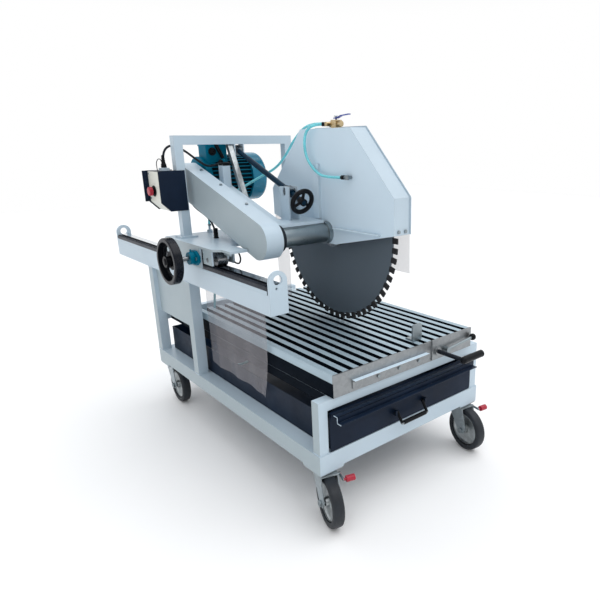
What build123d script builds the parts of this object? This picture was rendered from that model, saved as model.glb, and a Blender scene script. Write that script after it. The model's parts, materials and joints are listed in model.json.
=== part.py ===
from build123d import *
import math
import os

os.makedirs("parts", exist_ok=True)

# Sizes in millimetres. X runs across the machine to the right, -Y is the front, +Z is up.
# The origin is on the floor under the middle of the base frame.

# General fits
RUN_FIT = 0.05
FREE_GAP = 0.3
SLIDE_GAP = 1.3
BOLT_FIT = 0.2
CUT = 1.0

# Casters
WHEEL_R = 100.0
WHEEL_W = 46.0
TYRE_EDGE = 9.0
RIM_R = 76.0
RIM_STEP = 8.0
RIM_LEAN = 2.0
RIM_SET = 1.0
WHEEL_WEB = 18.0
HUB_R = 24.0
HUB_HALF = 27.0
AXLE_R = 8.0
AXLE_HEAD_R = 12.0
AXLE_HEAD_T = 8.0
CASTER_TRAIL = 60.0
FORK_IN = 31.0
FORK_T = 5.0
FORK_FRONT = 34.0
FORK_FOOT = 16.0
FORK_TOE = 12.0
FORK_KNEE = 10.0
FORK_CALF = 26.0
FORK_SHIN = 30.0
CROWN_T = 6.0
CROWN_GAP = 1.0
KING_R = 10.0
RACE_R = 38.0
RACE_H = 4.0
PLATE_THICK = 6.0
PLATE_SIDE = 104.0
CASTER_BOLT_OFF = 40.0
CASTER_BOLT_R = 4.0
CASTER_HEAD_R = 6.5
CASTER_HEAD_H = 3.2
PEDAL_FORE = 17.0
PEDAL_DROP = 14.0
PEDAL_PIN_R = 4.0
PEDAL_BOSS_R = 7.0
PEDAL_R = 5.0
PEDAL_OUT = 10.0
PEDAL_L = 42.0
PEDAL_NECK = 9.0
SLEEVE_L = 35.0
SLEEVE_R = 8.0
SLEEVE_ROUND = 2.0
FORK_TURN = {"fl": -17.0, "fr": -8.0, "rl": -3.0, "rr": 6.0}

# Base frame
BASE_W = 900.0
BASE_L = 1500.0
RAIL_W = 50.0
RAIL_H = 70.0
RAIL_WALL = 4.0
POST = 40.0
POST_WALL = 3.0
POST_INSET = 5.0
FRONT_POST_H = 210.0
TALL_POST = 50.0
TALL_POST_H = 467.0
MID_POST_Y = 240.0
CROSS_RAIL_H = 40.0
DRAIN_R = 5.0
PANEL_T = 3.0
PANEL_UP = 226.0
PANEL_IN = 23.0
PAD_SIDE = 110.0
PAD_T = 8.0
LEDGE_W = 38.0
LEDGE_T = 4.0
CORNER_T = 6.0
CORNER_SIDE = 36.0
CORNER_R = 27.0
CORNER_SET = 8.0

# Rail beam with lifting lugs
BEAM_W = 80.0
BEAM_H = 80.0
BEAM_WALL = 5.0
BEAM_Y0 = -467.0
BEAM_L = 1673.0
LUG_T = 10.0
LUG_RISE = 48.0
LUG_EYE_R = 19.0
LUG_EYE_UP = 53.0
LUG_BOLT_R = 4.5
LUG_BOLT_UP = 22.0
LUG_BOLT_SIDE = 8.0

# Toothed guide rail on the beam
GUIDE_BASE_H = 24.0
GUIDE_H = 38.0
GUIDE_W = 36.0
GUIDE_END = 5.0
RACK_W = 14.0
GROOVE_W = 10.0
PITCH_DROP = 5.0
MODULE = 2.5
PINION_TEETH = 24
TOOTH_ADD = 2.2
TOOTH_DED = 3.2
TOOTH_W = 3.2
TOOTH_TAN = 0.364
RACK_END = 8.0

# Splash curtain under the beam
CURTAIN_T = 2.5
CURTAIN_IN = 56.0
CURTAIN_Y0 = -340.0
CURTAIN_L = 535.0
CURTAIN_DROP = 397.0
CURTAIN_WAVE = 3.5
CURTAIN_FOLDS = 4

# Travelling carriage
DECK_T = 10.0
DECK_OVER_RAIL = 70.0
DECK_OUT = 15.0
DECK_Y0 = -20.0
DECK_Y1 = 420.0
DECK_CHIN = 45.0
DECK_SLOPE = 30.0
TONGUE_IN = 15.0
TONGUE_W = 80.0
TONGUE_L = 146.0
SKIRT_T = 8.0
SKIRT_Y0 = 50.0
SKIRT_L = 295.0
SKIRT_OVER_BEAM = 21.0
SHAFT_HOLE_R = 14.0
ROLLER_R = 28.0
ROLLER_FLANGE_R = 34.0
ROLLER_FLANGE_T = 5.0
ROLLER_SIDE = 1.0
ROLLER_AXLE_R = 10.0
ROLLER_Y_FRONT = -15.0
ROLLER_Y_REAR = 388.0
HANGER_T = 8.0
HANGER_L = 80.0
HANGER_DROP = 20.3
HANGER_OUT = 13.0
HANGER_IN = 33.0
CROSS_H = 60.0
CROSS_W = 80.0
CROSS_BACK = 55.0
CROSS_WALL = 4.0
CROSS_PAST_POST = 20.0
UNION_BACK = 28.0
UNION_OUT = 18.0
UNION_R = 13.0
UNION_NUT = 12.0
UNION_REACH = 30.0
TAB_W = 8.0
TAB_L = 55.0
TAB_H = 24.0
TAB_FORWARD = 70.0
TAB_PIN_R = 5.0
TAB_PIN_L = 24.0

# Travel drive
PINION_Y = 95.0
PINION_PROUD = 2.0
SHAFT_R = 10.0
BEARING_FLANGE_L = 96.0
BEARING_FLANGE_H = 62.0
BEARING_FLANGE_T = 12.0
BEARING_TIP = 24.0
BEARING_WAIST = 40.0
BEARING_HUB_R = 27.0
BEARING_HUB_L = 22.0
BEARING_BOLT_R = 7.5
BEARING_BOLT_H = 6.0
BEARING_BOLT_IN = 12.0
NIPPLE_R = 4.0
NIPPLE_UP = 38.0
NIPPLE_OUT = 10.0
BIG_WHEEL_OUT = 130.0
BIG_WHEEL_R = 100.0
BIG_RIM = 17.0
BIG_RIM_W = 38.0
BIG_RIM_ROUND = 6.0
BIG_WEB_T = 10.0
BIG_WEB_SET = 9.0
BIG_SLOT_R = 54.0
BIG_SLOT_W = 32.0
BIG_SLOT_TURN = 62.0
BIG_SLOT_START = 20.0
BIG_HUB_R = 24.0
BIG_HUB_L = 44.0
SPOKES = 3

# Portal over the head
PORTAL_TUBE = 40.0
PORTAL_WALL = 3.0
PORTAL_IN = 30.0
PORTAL_H = 455.0
PORTAL_CLEAR = 91.0
FOOT_T = 8.0
FOOT_SIDE = 80.0
EAR_T = 6.0
EAR_HALF = 22.0
NUT_DROP = 27.0
BRACE_W = 24.0
BRACE_T = 3.0
BRACE_GAP = 5.0
BRACE_FOOT_Y = 108.0

# Switch box
BOX_OUT = 88.0
BOX_PAST_POST = 35.0
BOX_L = 148.0
BOX_H = 179.0
BOX_UP = 126.0
BOX_CHAMFER = 40.0
BOX_T = 3.0
COVER_SET = 8.0
STOP_HEAD_R = 20.0
STOP_HEAD_T = 16.0
STOP_HEAD_ROUND = 6.0
STOP_STAND = 12.0
STOP_STEM_R = 11.0
STOP_STEM_IN = 20.0
STOP_BACK = 88.0
STOP_UP = 89.0
GLAND_IN = 50.0
GLAND_BACK = 50.0
GLAND_R = 9.0
GLAND_L = 15.0
GLAND_BASE = 36.0
GLAND_BASE_H = 12.0

# Saw head: arbor, drive and arm
BLADE_OVER_TABLE = 5.0
ARBOR_Y = -235.0
MOTOR_BACK = 685.0
MOTOR_UP = 216.0
DRIVE_IN = 172.0
BELT_GUARD_W = 70.0
BELT_GUARD_R = 76.0
BELT_GUARD_T = 3.0
PLATE_T = 10.0
ARM_STAND = 43.0
ARM_W = 65.0
ARM_LOW = 45.0
ARM_HIGH = 18.0
ARM_WALL = 6.0
ARM_S0 = 44.0
ARM_S1 = 575.0
SPACER_HALF = 15.0
SPACER_FRONT = (70.0, 250.0)
SPACER_REAR = 105.0
HINGE_S = 390.0
HINGE_DROP = 90.0
HINGE_R = 25.0
HINGE_PIN_R = 15.0
HINGE_LEFT = 3.0
HINGE_RIGHT = 12.0
HINGE_WEB = 22.0
WEB_IN = 6.0
CHEEK_T = 10.0
CHEEK_R = 32.0
CHEEK_HALF = 45.0
CHEEK_GAP = 2.0
HEAD_PLATE_T = 12.0
HEAD_PLATE_UP = 0.5
HEAD_PLATE_FRONT = 8.0
HEAD_PLATE_BACK = 165.0
STUB_SIDE = 40.0
STUB_IN = 22.0
STUB_RISE = 124.0
HOUSING_R = 42.0
COLLAR_R = 49.0
COLLAR_L = 20.0
COLLAR_NOTCH = 34.0
ARBOR_R = 20.0
HOUSING_BORE_R = 32.0
BEARING_L = 24.0
SHAFT_CLEAR = 6.0
PULLEY_IN = 14.0
PULLEY_PITCH = 16.0
PULLEY_END = 1.0
SHAFT_PAST_PULLEY = 4.0
BELT_W = 12.0
BELT_T = 8.0
BELT_COUNT = 3
ARBOR_PULLEY_R = 56.0
MOTOR_PULLEY_R = 48.0
PULLEY_RIM = 10.0
PULLEY_WEB = 3.0
GUARD_BOLTS = (195.0, 425.0, 620.0)
GUARD_BOLT_IN = 13.0
M8_R = 4.0
M8_HEAD_R = 7.5
M8_HEAD_H = 5.5
M8_SHORT = 8.0

# Electric motor
MOTOR_SHAFT_R = 14.0
MOTOR_SHAFT_IN = 30.0
MOTOR_R = 100.0
MOTOR_FIN = 11.0
MOTOR_FINS = 36
FIN_FOOT = 0.16
FIN_TIP = 0.12
MOTOR_FLANGE_R = 78.0
MOTOR_FLANGE_T = 14.0
BELL_R = 104.0
BELL_L = 30.0
MOTOR_L = 208.0
FAN_R = 119.0
FAN_L = 85.0
FAN_ROUND = 22.0
GRILLE_SLOTS = 7
GRILLE_PITCH = 22.0
GRILLE_W = 12.0
GRILLE_HALF = 72.0
GRILLE_DEEP = 6.0
TERMINAL_IN = 30.0
TERMINAL_W = 108.0
TERMINAL_FRONT = 78.0
TERMINAL_L = 90.0
TERMINAL_LOW = 60.0
TERMINAL_UP = 156.0
TERMINAL_ROUND = 8.0
TERMINAL_GLAND_L = 22.0
ELBOW_IN = 66.0
ELBOW_OUT = 37.0
ELBOW_UP = 84.0
ELBOW_LEAN = 24.0

# Blade and its guard
BLADE_R = 400.0
BLADE_T = 5.0
BLADE_BORE_R = 30.0
SEGMENTS = 60
SEGMENT_L = 23.0
SEGMENT_H = 24.0
SEGMENT_T = 6.4
SEGMENT_IN = 4.0
FLANGE_R = 70.0
FLANGE_T = 15.0
CLAMP_THREAD_R = 18.0
NUT_R = 28.0
NUT_T = 14.0
THREAD_PAST_NUT = 4.0
HOOD_LEFT = 45.0
HOOD_WHEEL_GAP = 25.0
HOOD_W = 84.0
HOOD_T = 3.0
HOOD_SIDE_GAP = 25.0
HOOD_TOP_GAP = 33.0
HOOD_TOP_HALF = 172.0
HOOD_SHOULDER = 170.0
HOOD_FRONT_LOW = 28.0
HOOD_REAR_LOW = 45.0
HOOD_SLANT = 1.2
APRON_HALF = 62.0
APRON_LOW = 48.0
HOOD_HOLE_R = 36.0
HOOD_BOLT_UP = 14.0
HOOD_BOLT_X = (24.0, 60.0)
SIDE_T = 3.0
SIDE_LIP = 6.0
SHELF_W = 16.0
SHELF_T = 6.0
SHELF_UP = 27.0
SHELF_FRONT = 350.0
SHELF_REAR = 61.0
RIB_FRONT = 35.0
RIB_L = 40.0
RIB_W = 12.0
RIB_UP = 290.0
RIB_FOOT = 2.0
SHEET_T = 2.5
SKIRT_IN = 2.0
SKIRT_LOW = 132.0
SKIRT_HIGH = 60.0
FLAP_IN = 6.0
FLAP_LOW = 390.0
FLAP_HIGH = 80.0

# Water valve, elbows, hoses and cable
HOSE_R = 6.0
CABLE_R = 5.0
CABLE_LAST = 58.0
VALVE_UP = 17.0
VALVE_R = 12.0
VALVE_FRONT = 65.0
VALVE_BACK = 10.0
VALVE_HALF = 16.0
VALVE_BODY_L = 34.0
VALVE_BODY_Y = -30.0
VALVE_BODY_H = 32.0
VALVE_FOOT = 20.0
MANIFOLD_R = 9.0
MANIFOLD_Y = 3.0
MANIFOLD_PAST = 6.0
PORT_R = 5.5
PORT_L = 22.0
PORT_SIDE = 25.0
SPRAY_START_Y = 17.0
SUPPLY_START_Y = 18.0
LEVER_STEM_R = 4.0
LEVER_STEM_IN = 12.0
LEVER_STEM_OUT = 11.0
LEVER_BAR_W = 14.0
LEVER_BAR_T = 4.0
LEVER_BAR_STAND = 5.0
LEVER_BAR_TAIL = 10.0
LEVER_BAR_BEND = (10.0, 35.0, 87.0)
LEVER_BAR_RISE = (8.0, 12.0)
FITTING_FRONT = 176.0
FITTING_UP = 240.0
FITTING_OUT = 22.0
FITTING_R = 9.0
FITTING_STEM_R = 7.0
FITTING_NOSE = 24.0

# Depth screw
SCREW_SIDE = 60.0
SCREW_R = 11.0
CLEVIS_BACK = 125.0
CLEVIS_UP = 176.0
SWIVEL_W = 34.0
SWIVEL_SIDE = 36.0
PIN_R = 8.0
PIN_HALF = 26.0
SLOT_GAP = 2.0
SLOT_RUN = 8.0
CLEVIS_T = 6.0
CLEVIS_L = 70.0
CLEVIS_EDGE = 21.0
SCREW_PAST_NUT = 62.0
SCREW_TO_WHEEL = 104.0
SCREW_STOP = 6.0
SCREW_STOP_L = 8.4
SCREW_STOP_GAP = 0.6
SLEEVE_R = 12.5
SLEEVE_SHORT = 110.0
SMALL_WHEEL_R = 58.0
SMALL_RIM = 10.0
SMALL_HUB_R = 16.0
SMALL_HUB_L = 30.0
SMALL_SPOKE_R = 6.5
SMALL_SPOKE_TURN = 30.0

# Sliding table
TABLE_SIDE_GAP = 70.0
TABLE_HOSE_GAP = 52.0
TABLE_RISE = 90.0
TABLE_SET = 4.0
SLATS = 16
SLAT_W = 26.0
SLAT_H = 34.0
SLAT_WALL = 3.0
SIDE_BEAM_W = 40.0
SIDE_BEAM_GAP = 4.0
SIDE_BEAM_WALL = 3.0
PAD_IN = 5.0
PAD_SHORT = 40.0
CROSS_BAR_W = 40.0
CROSS_BAR_T = 8.0
CROSS_BAR_IN = 60.0
CROSS_BAR_MID = 516.0
FRONT_PLATE_T = 6.0
FRONT_PLATE_GAP = 2.0
FRONT_PLATE_DROP = 1.0
REAR_BAR_DROP = 16.0
CLAMP_PLATE_X = 130.0
CLAMP_PLATE_LOW = 4.0
CLAMP_PLATE_PROUD = 3.0
SHELF_BAR_X0 = -295.0
SHELF_BAR_L = 395.0
SHELF_BAR_DROP = 41.0
SHELF_BAR_D = 20.0
SHELF_BAR_H = 34.0
SHELF_BAR_T = 4.0
SHELF_BOLT_UP = 14.0
SHELF_BOLT_X = (125.0, 235.0, 345.0)
SHELF_BOLT_L = 16.0
LEVER_SIDE = 75.0
LEVER_DROP = 49.0
LEVER_ARM = 165.0
LEVER_TILT = 5.0
LEVER_STAND = 18.0
LEVER_R = 6.0
LEVER_HUB_R = 12.0
LEVER_HUB_PAST = 8.0
LEVER_SHAFT_R = 7.0
LEVER_SHAFT_PAST = 8.0
BALL_R = 15.0
PUSH_SIDE = 30.0
PUSH_OUT = 140.0
PUSH_R = 9.0
PUSH_FLANGE_R = 18.0
PUSH_FLANGE_T = 8.0
GRIP_R = 15.0
GRIP_L = 112.0
STOP_W = 54.0
STOP_LEFT = 38.0
STOP_IN = 34.0
STOP_T = 6.0
STOP_H = 74.0
STOP_ROUND = 12.0
STOP_FOOT_L = 52.0
STOP_FOOT_T = 5.0
STOP_FOOT_IN = 12.0
STOP_KEY_SIDE = 1.5
STOP_KEY_FRONT = 8.0
STOP_KEY_BACK = 4.0
STOP_KEY_H = 26.0

# Slurry tray and pump
TRAY_SIDE_GAP = 15.0
TRAY_SET = 5.0
TRAY_REAR_GAP = 10.0
TRAY_T = 3.0
TRAY_H = 126.7
TRAY_POST_GAP = 7.0
TRAY_BAR_GAP = 10.0
TRAY_PANEL_LOW = 1.0
TRAY_LIP = 10.0
TRAY_LIP_H = 26.0
HANDLE_HALF = 72.0
HANDLE_STAND = 14.0
HANDLE_UP = 53.7
HANDLE_DROP = 40.0
HANDLE_OUT = 26.0
HANDLE_R = 6.0
HANDLE_GRIP_R = 9.0
HANDLE_GRIP_IN = 10.0
HANDLE_PIN_R = 4.0
HANDLE_SIDE_GAP = 1.0
HANDLE_LUG_T = 10.0
HANDLE_LUG_H = 20.0
HANDLE_LUG_PAST = 8.0
PUMP_SIDE = 115.0
PUMP_BACK = 160.0
PUMP_R = 52.0
PUMP_H = 110.0
PUMP_ROUND = 12.0
PUMP_GRIP_W = 60.0
PUMP_GRIP_T = 10.0
PUMP_GRIP_H = 18.0
PUMP_GRIP_BAR = 9.0
SPOUT_L = 16.0
SPOUT_UP = 16.7

# Heights that follow from the sizes
FORK_TOP = 2 * WHEEL_R + CROWN_GAP + CROWN_T
CASTER_TOP = FORK_TOP + RACE_H + PLATE_THICK
BASE_Z = CASTER_TOP + PAD_T
BASE_TOP = BASE_Z + RAIL_H
FRONT_TOP = BASE_TOP + FRONT_POST_H
BEAM_Z = BASE_TOP + TALL_POST_H
BEAM_TOP = BEAM_Z + BEAM_H
GUIDE_TOP = BEAM_TOP + GUIDE_H
PITCH_Z = GUIDE_TOP - PITCH_DROP
PITCH_R = MODULE * PINION_TEETH / 2
TOOTH_PITCH = math.pi * MODULE
PINION_Z = PITCH_Z + PITCH_R
ROLLER_Z = GUIDE_TOP + ROLLER_R + FREE_GAP
DECK_Z = GUIDE_TOP + DECK_OVER_RAIL
DECK_TOP = DECK_Z + DECK_T
PORTAL_TOP = DECK_TOP + PORTAL_H
PORTAL_LOW = PORTAL_TOP - PORTAL_TUBE
TABLE_TOP = FRONT_TOP + TABLE_RISE
SLAT_Z = TABLE_TOP - SLAT_H
SIDE_BEAM_Z = FRONT_TOP + SIDE_BEAM_GAP
ARBOR_Z = TABLE_TOP + BLADE_OVER_TABLE + BLADE_R
MOTOR_Z = ARBOR_Z + MOTOR_UP
HEAD_PLATE_Z = ARBOR_Z + HOUSING_R + HEAD_PLATE_UP
HEAD_PLATE_TOP = HEAD_PLATE_Z + HEAD_PLATE_T
TRAY_Z = BASE_TOP + SLIDE_GAP
TRAY_TOP = TRAY_Z + TRAY_H
TRAY_FRONT_TOP = FRONT_TOP - POST - TRAY_BAR_GAP

# Places across the machine that follow from the sizes
LEFT = -BASE_W / 2
RIGHT = BASE_W / 2
BEAM_X1 = LEFT + BEAM_W
BEAM_MID = LEFT + BEAM_W / 2
GUIDE_X0 = LEFT + RACK_W + GROOVE_W
GUIDE_X1 = GUIDE_X0 + GUIDE_W
CASTER_X = (BASE_W - PAD_SIDE) / 2
CASTER_Y = (BASE_L - PAD_SIDE) / 2
POST_X0 = LEFT + POST_INSET
POST_X1 = RIGHT - POST_INSET
TABLE_W = BASE_W - 2 * TABLE_SIDE_GAP
TABLE_HALF = TABLE_W / 2
SLAT_PITCH = (TABLE_W - SLAT_W) / (SLATS - 1)
PLATE_X0 = LEFT + DRIVE_IN
PLATE_X1 = PLATE_X0 + PLATE_T
ARM_X0 = PLATE_X1 + ARM_STAND
ARM_X1 = ARM_X0 + ARM_W
SCREW_X = ARM_X1 + SCREW_SIDE
HOOD_FROM = SCREW_X + SMALL_WHEEL_R + HOOD_WHEEL_GAP
BLADE_GAP = math.ceil((HOOD_FROM + HOOD_LEFT + TABLE_HALF - SLAT_W / 2) / SLAT_PITCH + 0.5)
BLADE_X = -TABLE_HALF + SLAT_PITCH * (BLADE_GAP - 0.5) + SLAT_W / 2
BLADE_X0 = BLADE_X - BLADE_T / 2
BLADE_X1 = BLADE_X + BLADE_T / 2
HOOD_X0 = BLADE_X - HOOD_LEFT
HOOD_X1 = HOOD_X0 + HOOD_W
HOOD_HALF = BLADE_R + HOOD_SIDE_GAP
HOOD_TOP = BLADE_R + HOOD_TOP_GAP
UNION_X = PLATE_X1 + UNION_OUT
GUARD_X0 = PLATE_X0 - BELT_GUARD_W
PULLEY_X0 = GUARD_X0 + PULLEY_IN
ARM_MID = (ARM_X0 + ARM_X1) / 2
HINGE_X0 = ARM_X0 + HINGE_LEFT
HINGE_X1 = ARM_X1 - HINGE_RIGHT
BRACE_X0 = ARM_X1 + BRACE_GAP
BRACE_X1 = BRACE_X0 + BRACE_W
DECK_X0 = LEFT - DECK_OUT
DECK_X1 = SCREW_X + BRACE_GAP
HANGER_X0 = LEFT - HANGER_OUT
HANGER_X1 = GUIDE_X1 + HANGER_IN
MOTOR_X1 = PLATE_X1 + MOTOR_FLANGE_T + BELL_L + MOTOR_L
FAN_X1 = MOTOR_X1 + FAN_L
PORTAL_X0 = LEFT + PORTAL_IN
PORTAL_X1 = FAN_X1 + PORTAL_CLEAR + PORTAL_TUBE
BIG_WHEEL_X = LEFT - BIG_WHEEL_OUT
BOX_X0 = PORTAL_X0 - BOX_OUT
BOX_X1 = PORTAL_X0 + BOX_PAST_POST
COVER_X = BOX_X0 + COVER_SET
STOP_GAP_X = BLADE_X + SLAT_PITCH

# Places along the machine that follow from the sizes
FRONT = -BASE_L / 2
REAR = BASE_L / 2
POST_Y0 = FRONT + POST_INSET
POST_Y1 = REAR - POST_INSET
BEAM_Y1 = BEAM_Y0 + BEAM_L
MOTOR_Y = ARBOR_Y + MOTOR_BACK
CROSS_Y1 = DECK_Y1 - CROSS_BACK
CROSS_Y0 = CROSS_Y1 - CROSS_W
PORTAL_Y = (CROSS_Y0 + CROSS_Y1 - PORTAL_TUBE) / 2
TABLE_Y0 = FRONT + TABLE_SET
UNION_Y = DECK_Y1 - UNION_BACK
TABLE_Y1 = UNION_Y - TABLE_HOSE_GAP
TABLE_FACE = TABLE_Y0 - FRONT_PLATE_T
CLAMP_FACE = TABLE_FACE - FRONT_PLATE_T
TRAY_HALF = RIGHT - RAIL_W - TRAY_SIDE_GAP
TRAY_FRONT_HALF = POST_X1 - POST - TRAY_POST_GAP
TRAY_Y0 = FRONT + TRAY_SET
TRAY_Y1 = REAR - RAIL_W - TRAY_REAR_GAP
TRAY_FACE = TRAY_Y0 - TRAY_T
BOX_Y0 = PORTAL_Y - BOX_T
BOX_Y1 = BOX_Y0 + BOX_L
BOX_Z0 = DECK_TOP + BOX_UP
BOX_Z1 = BOX_Z0 + BOX_H
VALVE_Z = ARBOR_Z + HOOD_TOP + VALVE_UP
VALVE_STEM_Y = ARBOR_Y + VALVE_BODY_Y
FITTING_Y = ARBOR_Y - FITTING_FRONT
FITTING_Z = ARBOR_Z + FITTING_UP
PUMP_X = -TRAY_HALF + PUMP_SIDE
PUMP_Y = TRAY_Y1 - PUMP_BACK

# Belt line from the arbor to the motor, and the screw line from the clevis to the nut
ARM_LEN = math.hypot(MOTOR_BACK, MOTOR_UP)
ARM_U = (MOTOR_BACK / ARM_LEN, MOTOR_UP / ARM_LEN)
ARM_N = (-ARM_U[1], ARM_U[0])
NUT_POINT = (PORTAL_Y + PORTAL_TUBE / 2, PORTAL_LOW - NUT_DROP)
CLEVIS_POINT = (ARBOR_Y + CLEVIS_BACK, ARBOR_Z + CLEVIS_UP)
SCREW_LEN = math.hypot(NUT_POINT[0] - CLEVIS_POINT[0], NUT_POINT[1] - CLEVIS_POINT[1])
SCREW_W = (0.0, (NUT_POINT[0] - CLEVIS_POINT[0]) / SCREW_LEN,
           (NUT_POINT[1] - CLEVIS_POINT[1]) / SCREW_LEN)
SCREW_FRAME = Plane(origin=(SCREW_X, CLEVIS_POINT[0], CLEVIS_POINT[1]), x_dir=(1, 0, 0), z_dir=SCREW_W)


def block(x0, x1, y0, y1, z0, z1):
    return Pos((x0 + x1) / 2, (y0 + y1) / 2, (z0 + z1) / 2) * Box(x1 - x0, y1 - y0, z1 - z0)


def rod_x(x0, x1, y, z, r):
    return Pos((x0 + x1) / 2, y, z) * Rot(0, 90, 0) * Cylinder(r, x1 - x0)


def rod_y(y0, y1, x, z, r):
    return Pos(x, (y0 + y1) / 2, z) * Rot(90, 0, 0) * Cylinder(r, y1 - y0)


def rod_z(z0, z1, x, y, r):
    return Pos(x, y, (z0 + z1) / 2) * Cylinder(r, z1 - z0)


def plate_yz(points, x0, x1):
    return extrude(Plane.YZ.offset(x0) * make_face(Polyline(*points, close=True)), amount=x1 - x0)


def plate_xz(points, y0, y1):
    return extrude(Plane.XZ.offset(-y1) * make_face(Polyline(*points, close=True)), amount=y1 - y0)


def plate_xy(points, z0, z1):
    return extrude(Plane.XY.offset(z0) * make_face(Polyline(*points, close=True)), amount=z1 - z0)


def sheet_yz(face, x0, x1):
    return extrude(Plane.YZ.offset(x0) * face, amount=x1 - x0)


def weld(*bodies):
    return bodies[0] + list(bodies[1:])


def square_tube(x0, x1, y0, y1, z0, z1, wall, axis, caps=True):
    # Hollow bar; the ends are closed by plates of the wall thickness unless left open
    end = wall if caps else -CUT
    in_x = end if axis == "x" else wall
    in_y = end if axis == "y" else wall
    in_z = end if axis == "z" else wall
    inside = block(x0 + in_x, x1 - in_x, y0 + in_y, y1 - in_y, z0 + in_z, z1 - in_z)
    return block(x0, x1, y0, y1, z0, z1) - inside


def arm_point(s, n):
    # Place along the belt line, s from the arbor towards the motor and n square to it
    return (ARBOR_Y + s * ARM_U[0] + n * ARM_N[0], ARBOR_Z + s * ARM_U[1] + n * ARM_N[1])


def arm_strip(s0, s1, n0, n1, x0, x1):
    corners = [arm_point(s0, n0), arm_point(s1, n0), arm_point(s1, n1), arm_point(s0, n1)]
    return plate_yz(corners, x0, x1)


def belt_outline(front_r, rear_r):
    front = Pos(ARBOR_Y, ARBOR_Z) * Circle(front_r)
    rear = Pos(MOTOR_Y, MOTOR_Z) * Circle(rear_r)
    return make_hull(front.edges() + rear.edges())


def hex_bolt(place, head_r, head_h, shank_r, shank_l):
    head = extrude(RegularPolygon(head_r, 6), amount=head_h)
    shank = Pos(0, 0, -shank_l / 2) * Cylinder(shank_r, shank_l)
    return place * (head + shank)


def bolt_hole(place, length):
    return place * Cylinder(M8_R + BOLT_FIT, 2 * length)


def route_radii(points):
    radii = []
    for a, b, c in zip(points, points[1:], points[2:]):
        first = Vector(*b) - Vector(*a)
        second = Vector(*c) - Vector(*b)
        turn = math.radians(first.get_angle(second))
        radii.append(0.45 * min(first.length, second.length) / math.tan(turn / 2))
    return radii


def spigot(end, away, length, r):
    # Stub whose flat end meets a hose; the hose leaves towards the second point
    way = (Vector(*away) - Vector(*end)).normalized()
    return Plane(origin=Vector(*end) - way * (length / 2), z_dir=way) * Cylinder(r, length)


def hose(name, points, r):
    radii = route_radii(points)
    path = FilletPolyline(*points, radius=radii)
    start = Plane(origin=path @ 0, z_dir=path % 0)
    solid = sweep(start * Circle(r), path=path)
    ideal = math.pi * r * r * path.length
    print(name, "length", round(path.length, 1), "radii", [round(x) for x in radii],
          "volume ratio", round(solid.volume / ideal, 4))
    return solid


def save(name, shape):
    export_step(shape, "parts/" + name + ".step")


# Casters: fixed top plates and bolts, turning forks, wheels and front brake pedals
def caster_places():
    return {"fl": (-CASTER_X, -CASTER_Y), "fr": (CASTER_X, -CASTER_Y),
            "rl": (-CASTER_X, CASTER_Y), "rr": (CASTER_X, CASTER_Y)}


def caster_bolt_spots():
    spots = []
    for x, y in caster_places().values():
        for bx in (-CASTER_BOLT_OFF, CASTER_BOLT_OFF):
            for by in (-CASTER_BOLT_OFF, CASTER_BOLT_OFF):
                spots.append(Plane(origin=(x + bx, y + by, CASTER_TOP - PLATE_THICK), x_dir=(1, 0, 0),
                                   z_dir=(0, 0, -1)))
    return spots


def caster_bolt_length():
    return PLATE_THICK + PAD_T + RAIL_WALL


def caster_bolt_holes():
    return [spot * Cylinder(CASTER_BOLT_R + BOLT_FIT,
                            2 * caster_bolt_length() + CUT) for spot in caster_bolt_spots()]


def build_caster_plates():
    plates = []
    half = PLATE_SIDE / 2
    for x, y in caster_places().values():
        plate = block(x - half, x + half, y - half, y + half, CASTER_TOP - PLATE_THICK, CASTER_TOP)
        plate += rod_z(FORK_TOP + FREE_GAP, CASTER_TOP - PLATE_THICK, x, y, RACE_R)
        plate -= rod_z(FORK_TOP, CASTER_TOP + CUT, x, y, KING_R + RUN_FIT)
        plates.append(plate - caster_bolt_holes())
    return Compound(children=plates)


def build_caster_bolts():
    bolts = [hex_bolt(spot, CASTER_HEAD_R, CASTER_HEAD_H, CASTER_BOLT_R, caster_bolt_length())
             for spot in caster_bolt_spots()]
    return Compound(children=bolts)


def pedal_place():
    return PEDAL_FORE - CASTER_TRAIL, FORK_TOP - PEDAL_DROP


def build_fork(braked):
    axle_y = -CASTER_TRAIL
    outline = [(FORK_FRONT, FORK_TOP), (axle_y, FORK_TOP), (axle_y - FORK_CALF, WHEEL_R + FORK_KNEE),
               (axle_y - FORK_TOE, WHEEL_R - FORK_FOOT), (axle_y + FORK_TOE, WHEEL_R - FORK_FOOT),
               (axle_y + FORK_SHIN, WHEEL_R + FORK_KNEE)]
    legs = []
    for sx in (-1, 1):
        x0, x1 = sorted((sx * FORK_IN, sx * (FORK_IN + FORK_T)))
        leg = plate_yz(outline, x0, x1)
        if braked and sx > 0:
            leg -= rod_x(x0 - CUT, x1 + CUT, *pedal_place(), PEDAL_PIN_R + RUN_FIT)
        legs.append(leg)
    wide = FORK_IN + FORK_T
    crown = block(-wide, wide, axle_y, FORK_FRONT, FORK_TOP - CROWN_T, FORK_TOP)
    king = rod_z(FORK_TOP, CASTER_TOP - FREE_GAP, 0.0, 0.0, KING_R)
    axle = rod_x(-wide, wide, axle_y, WHEEL_R, AXLE_R)
    heads = [rod_x(-wide - AXLE_HEAD_T, -wide, axle_y, WHEEL_R, AXLE_HEAD_R),
             rod_x(wide, wide + AXLE_HEAD_T, axle_y, WHEEL_R, AXLE_HEAD_R)]
    return weld(crown, king, axle, *legs, *heads)


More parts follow.
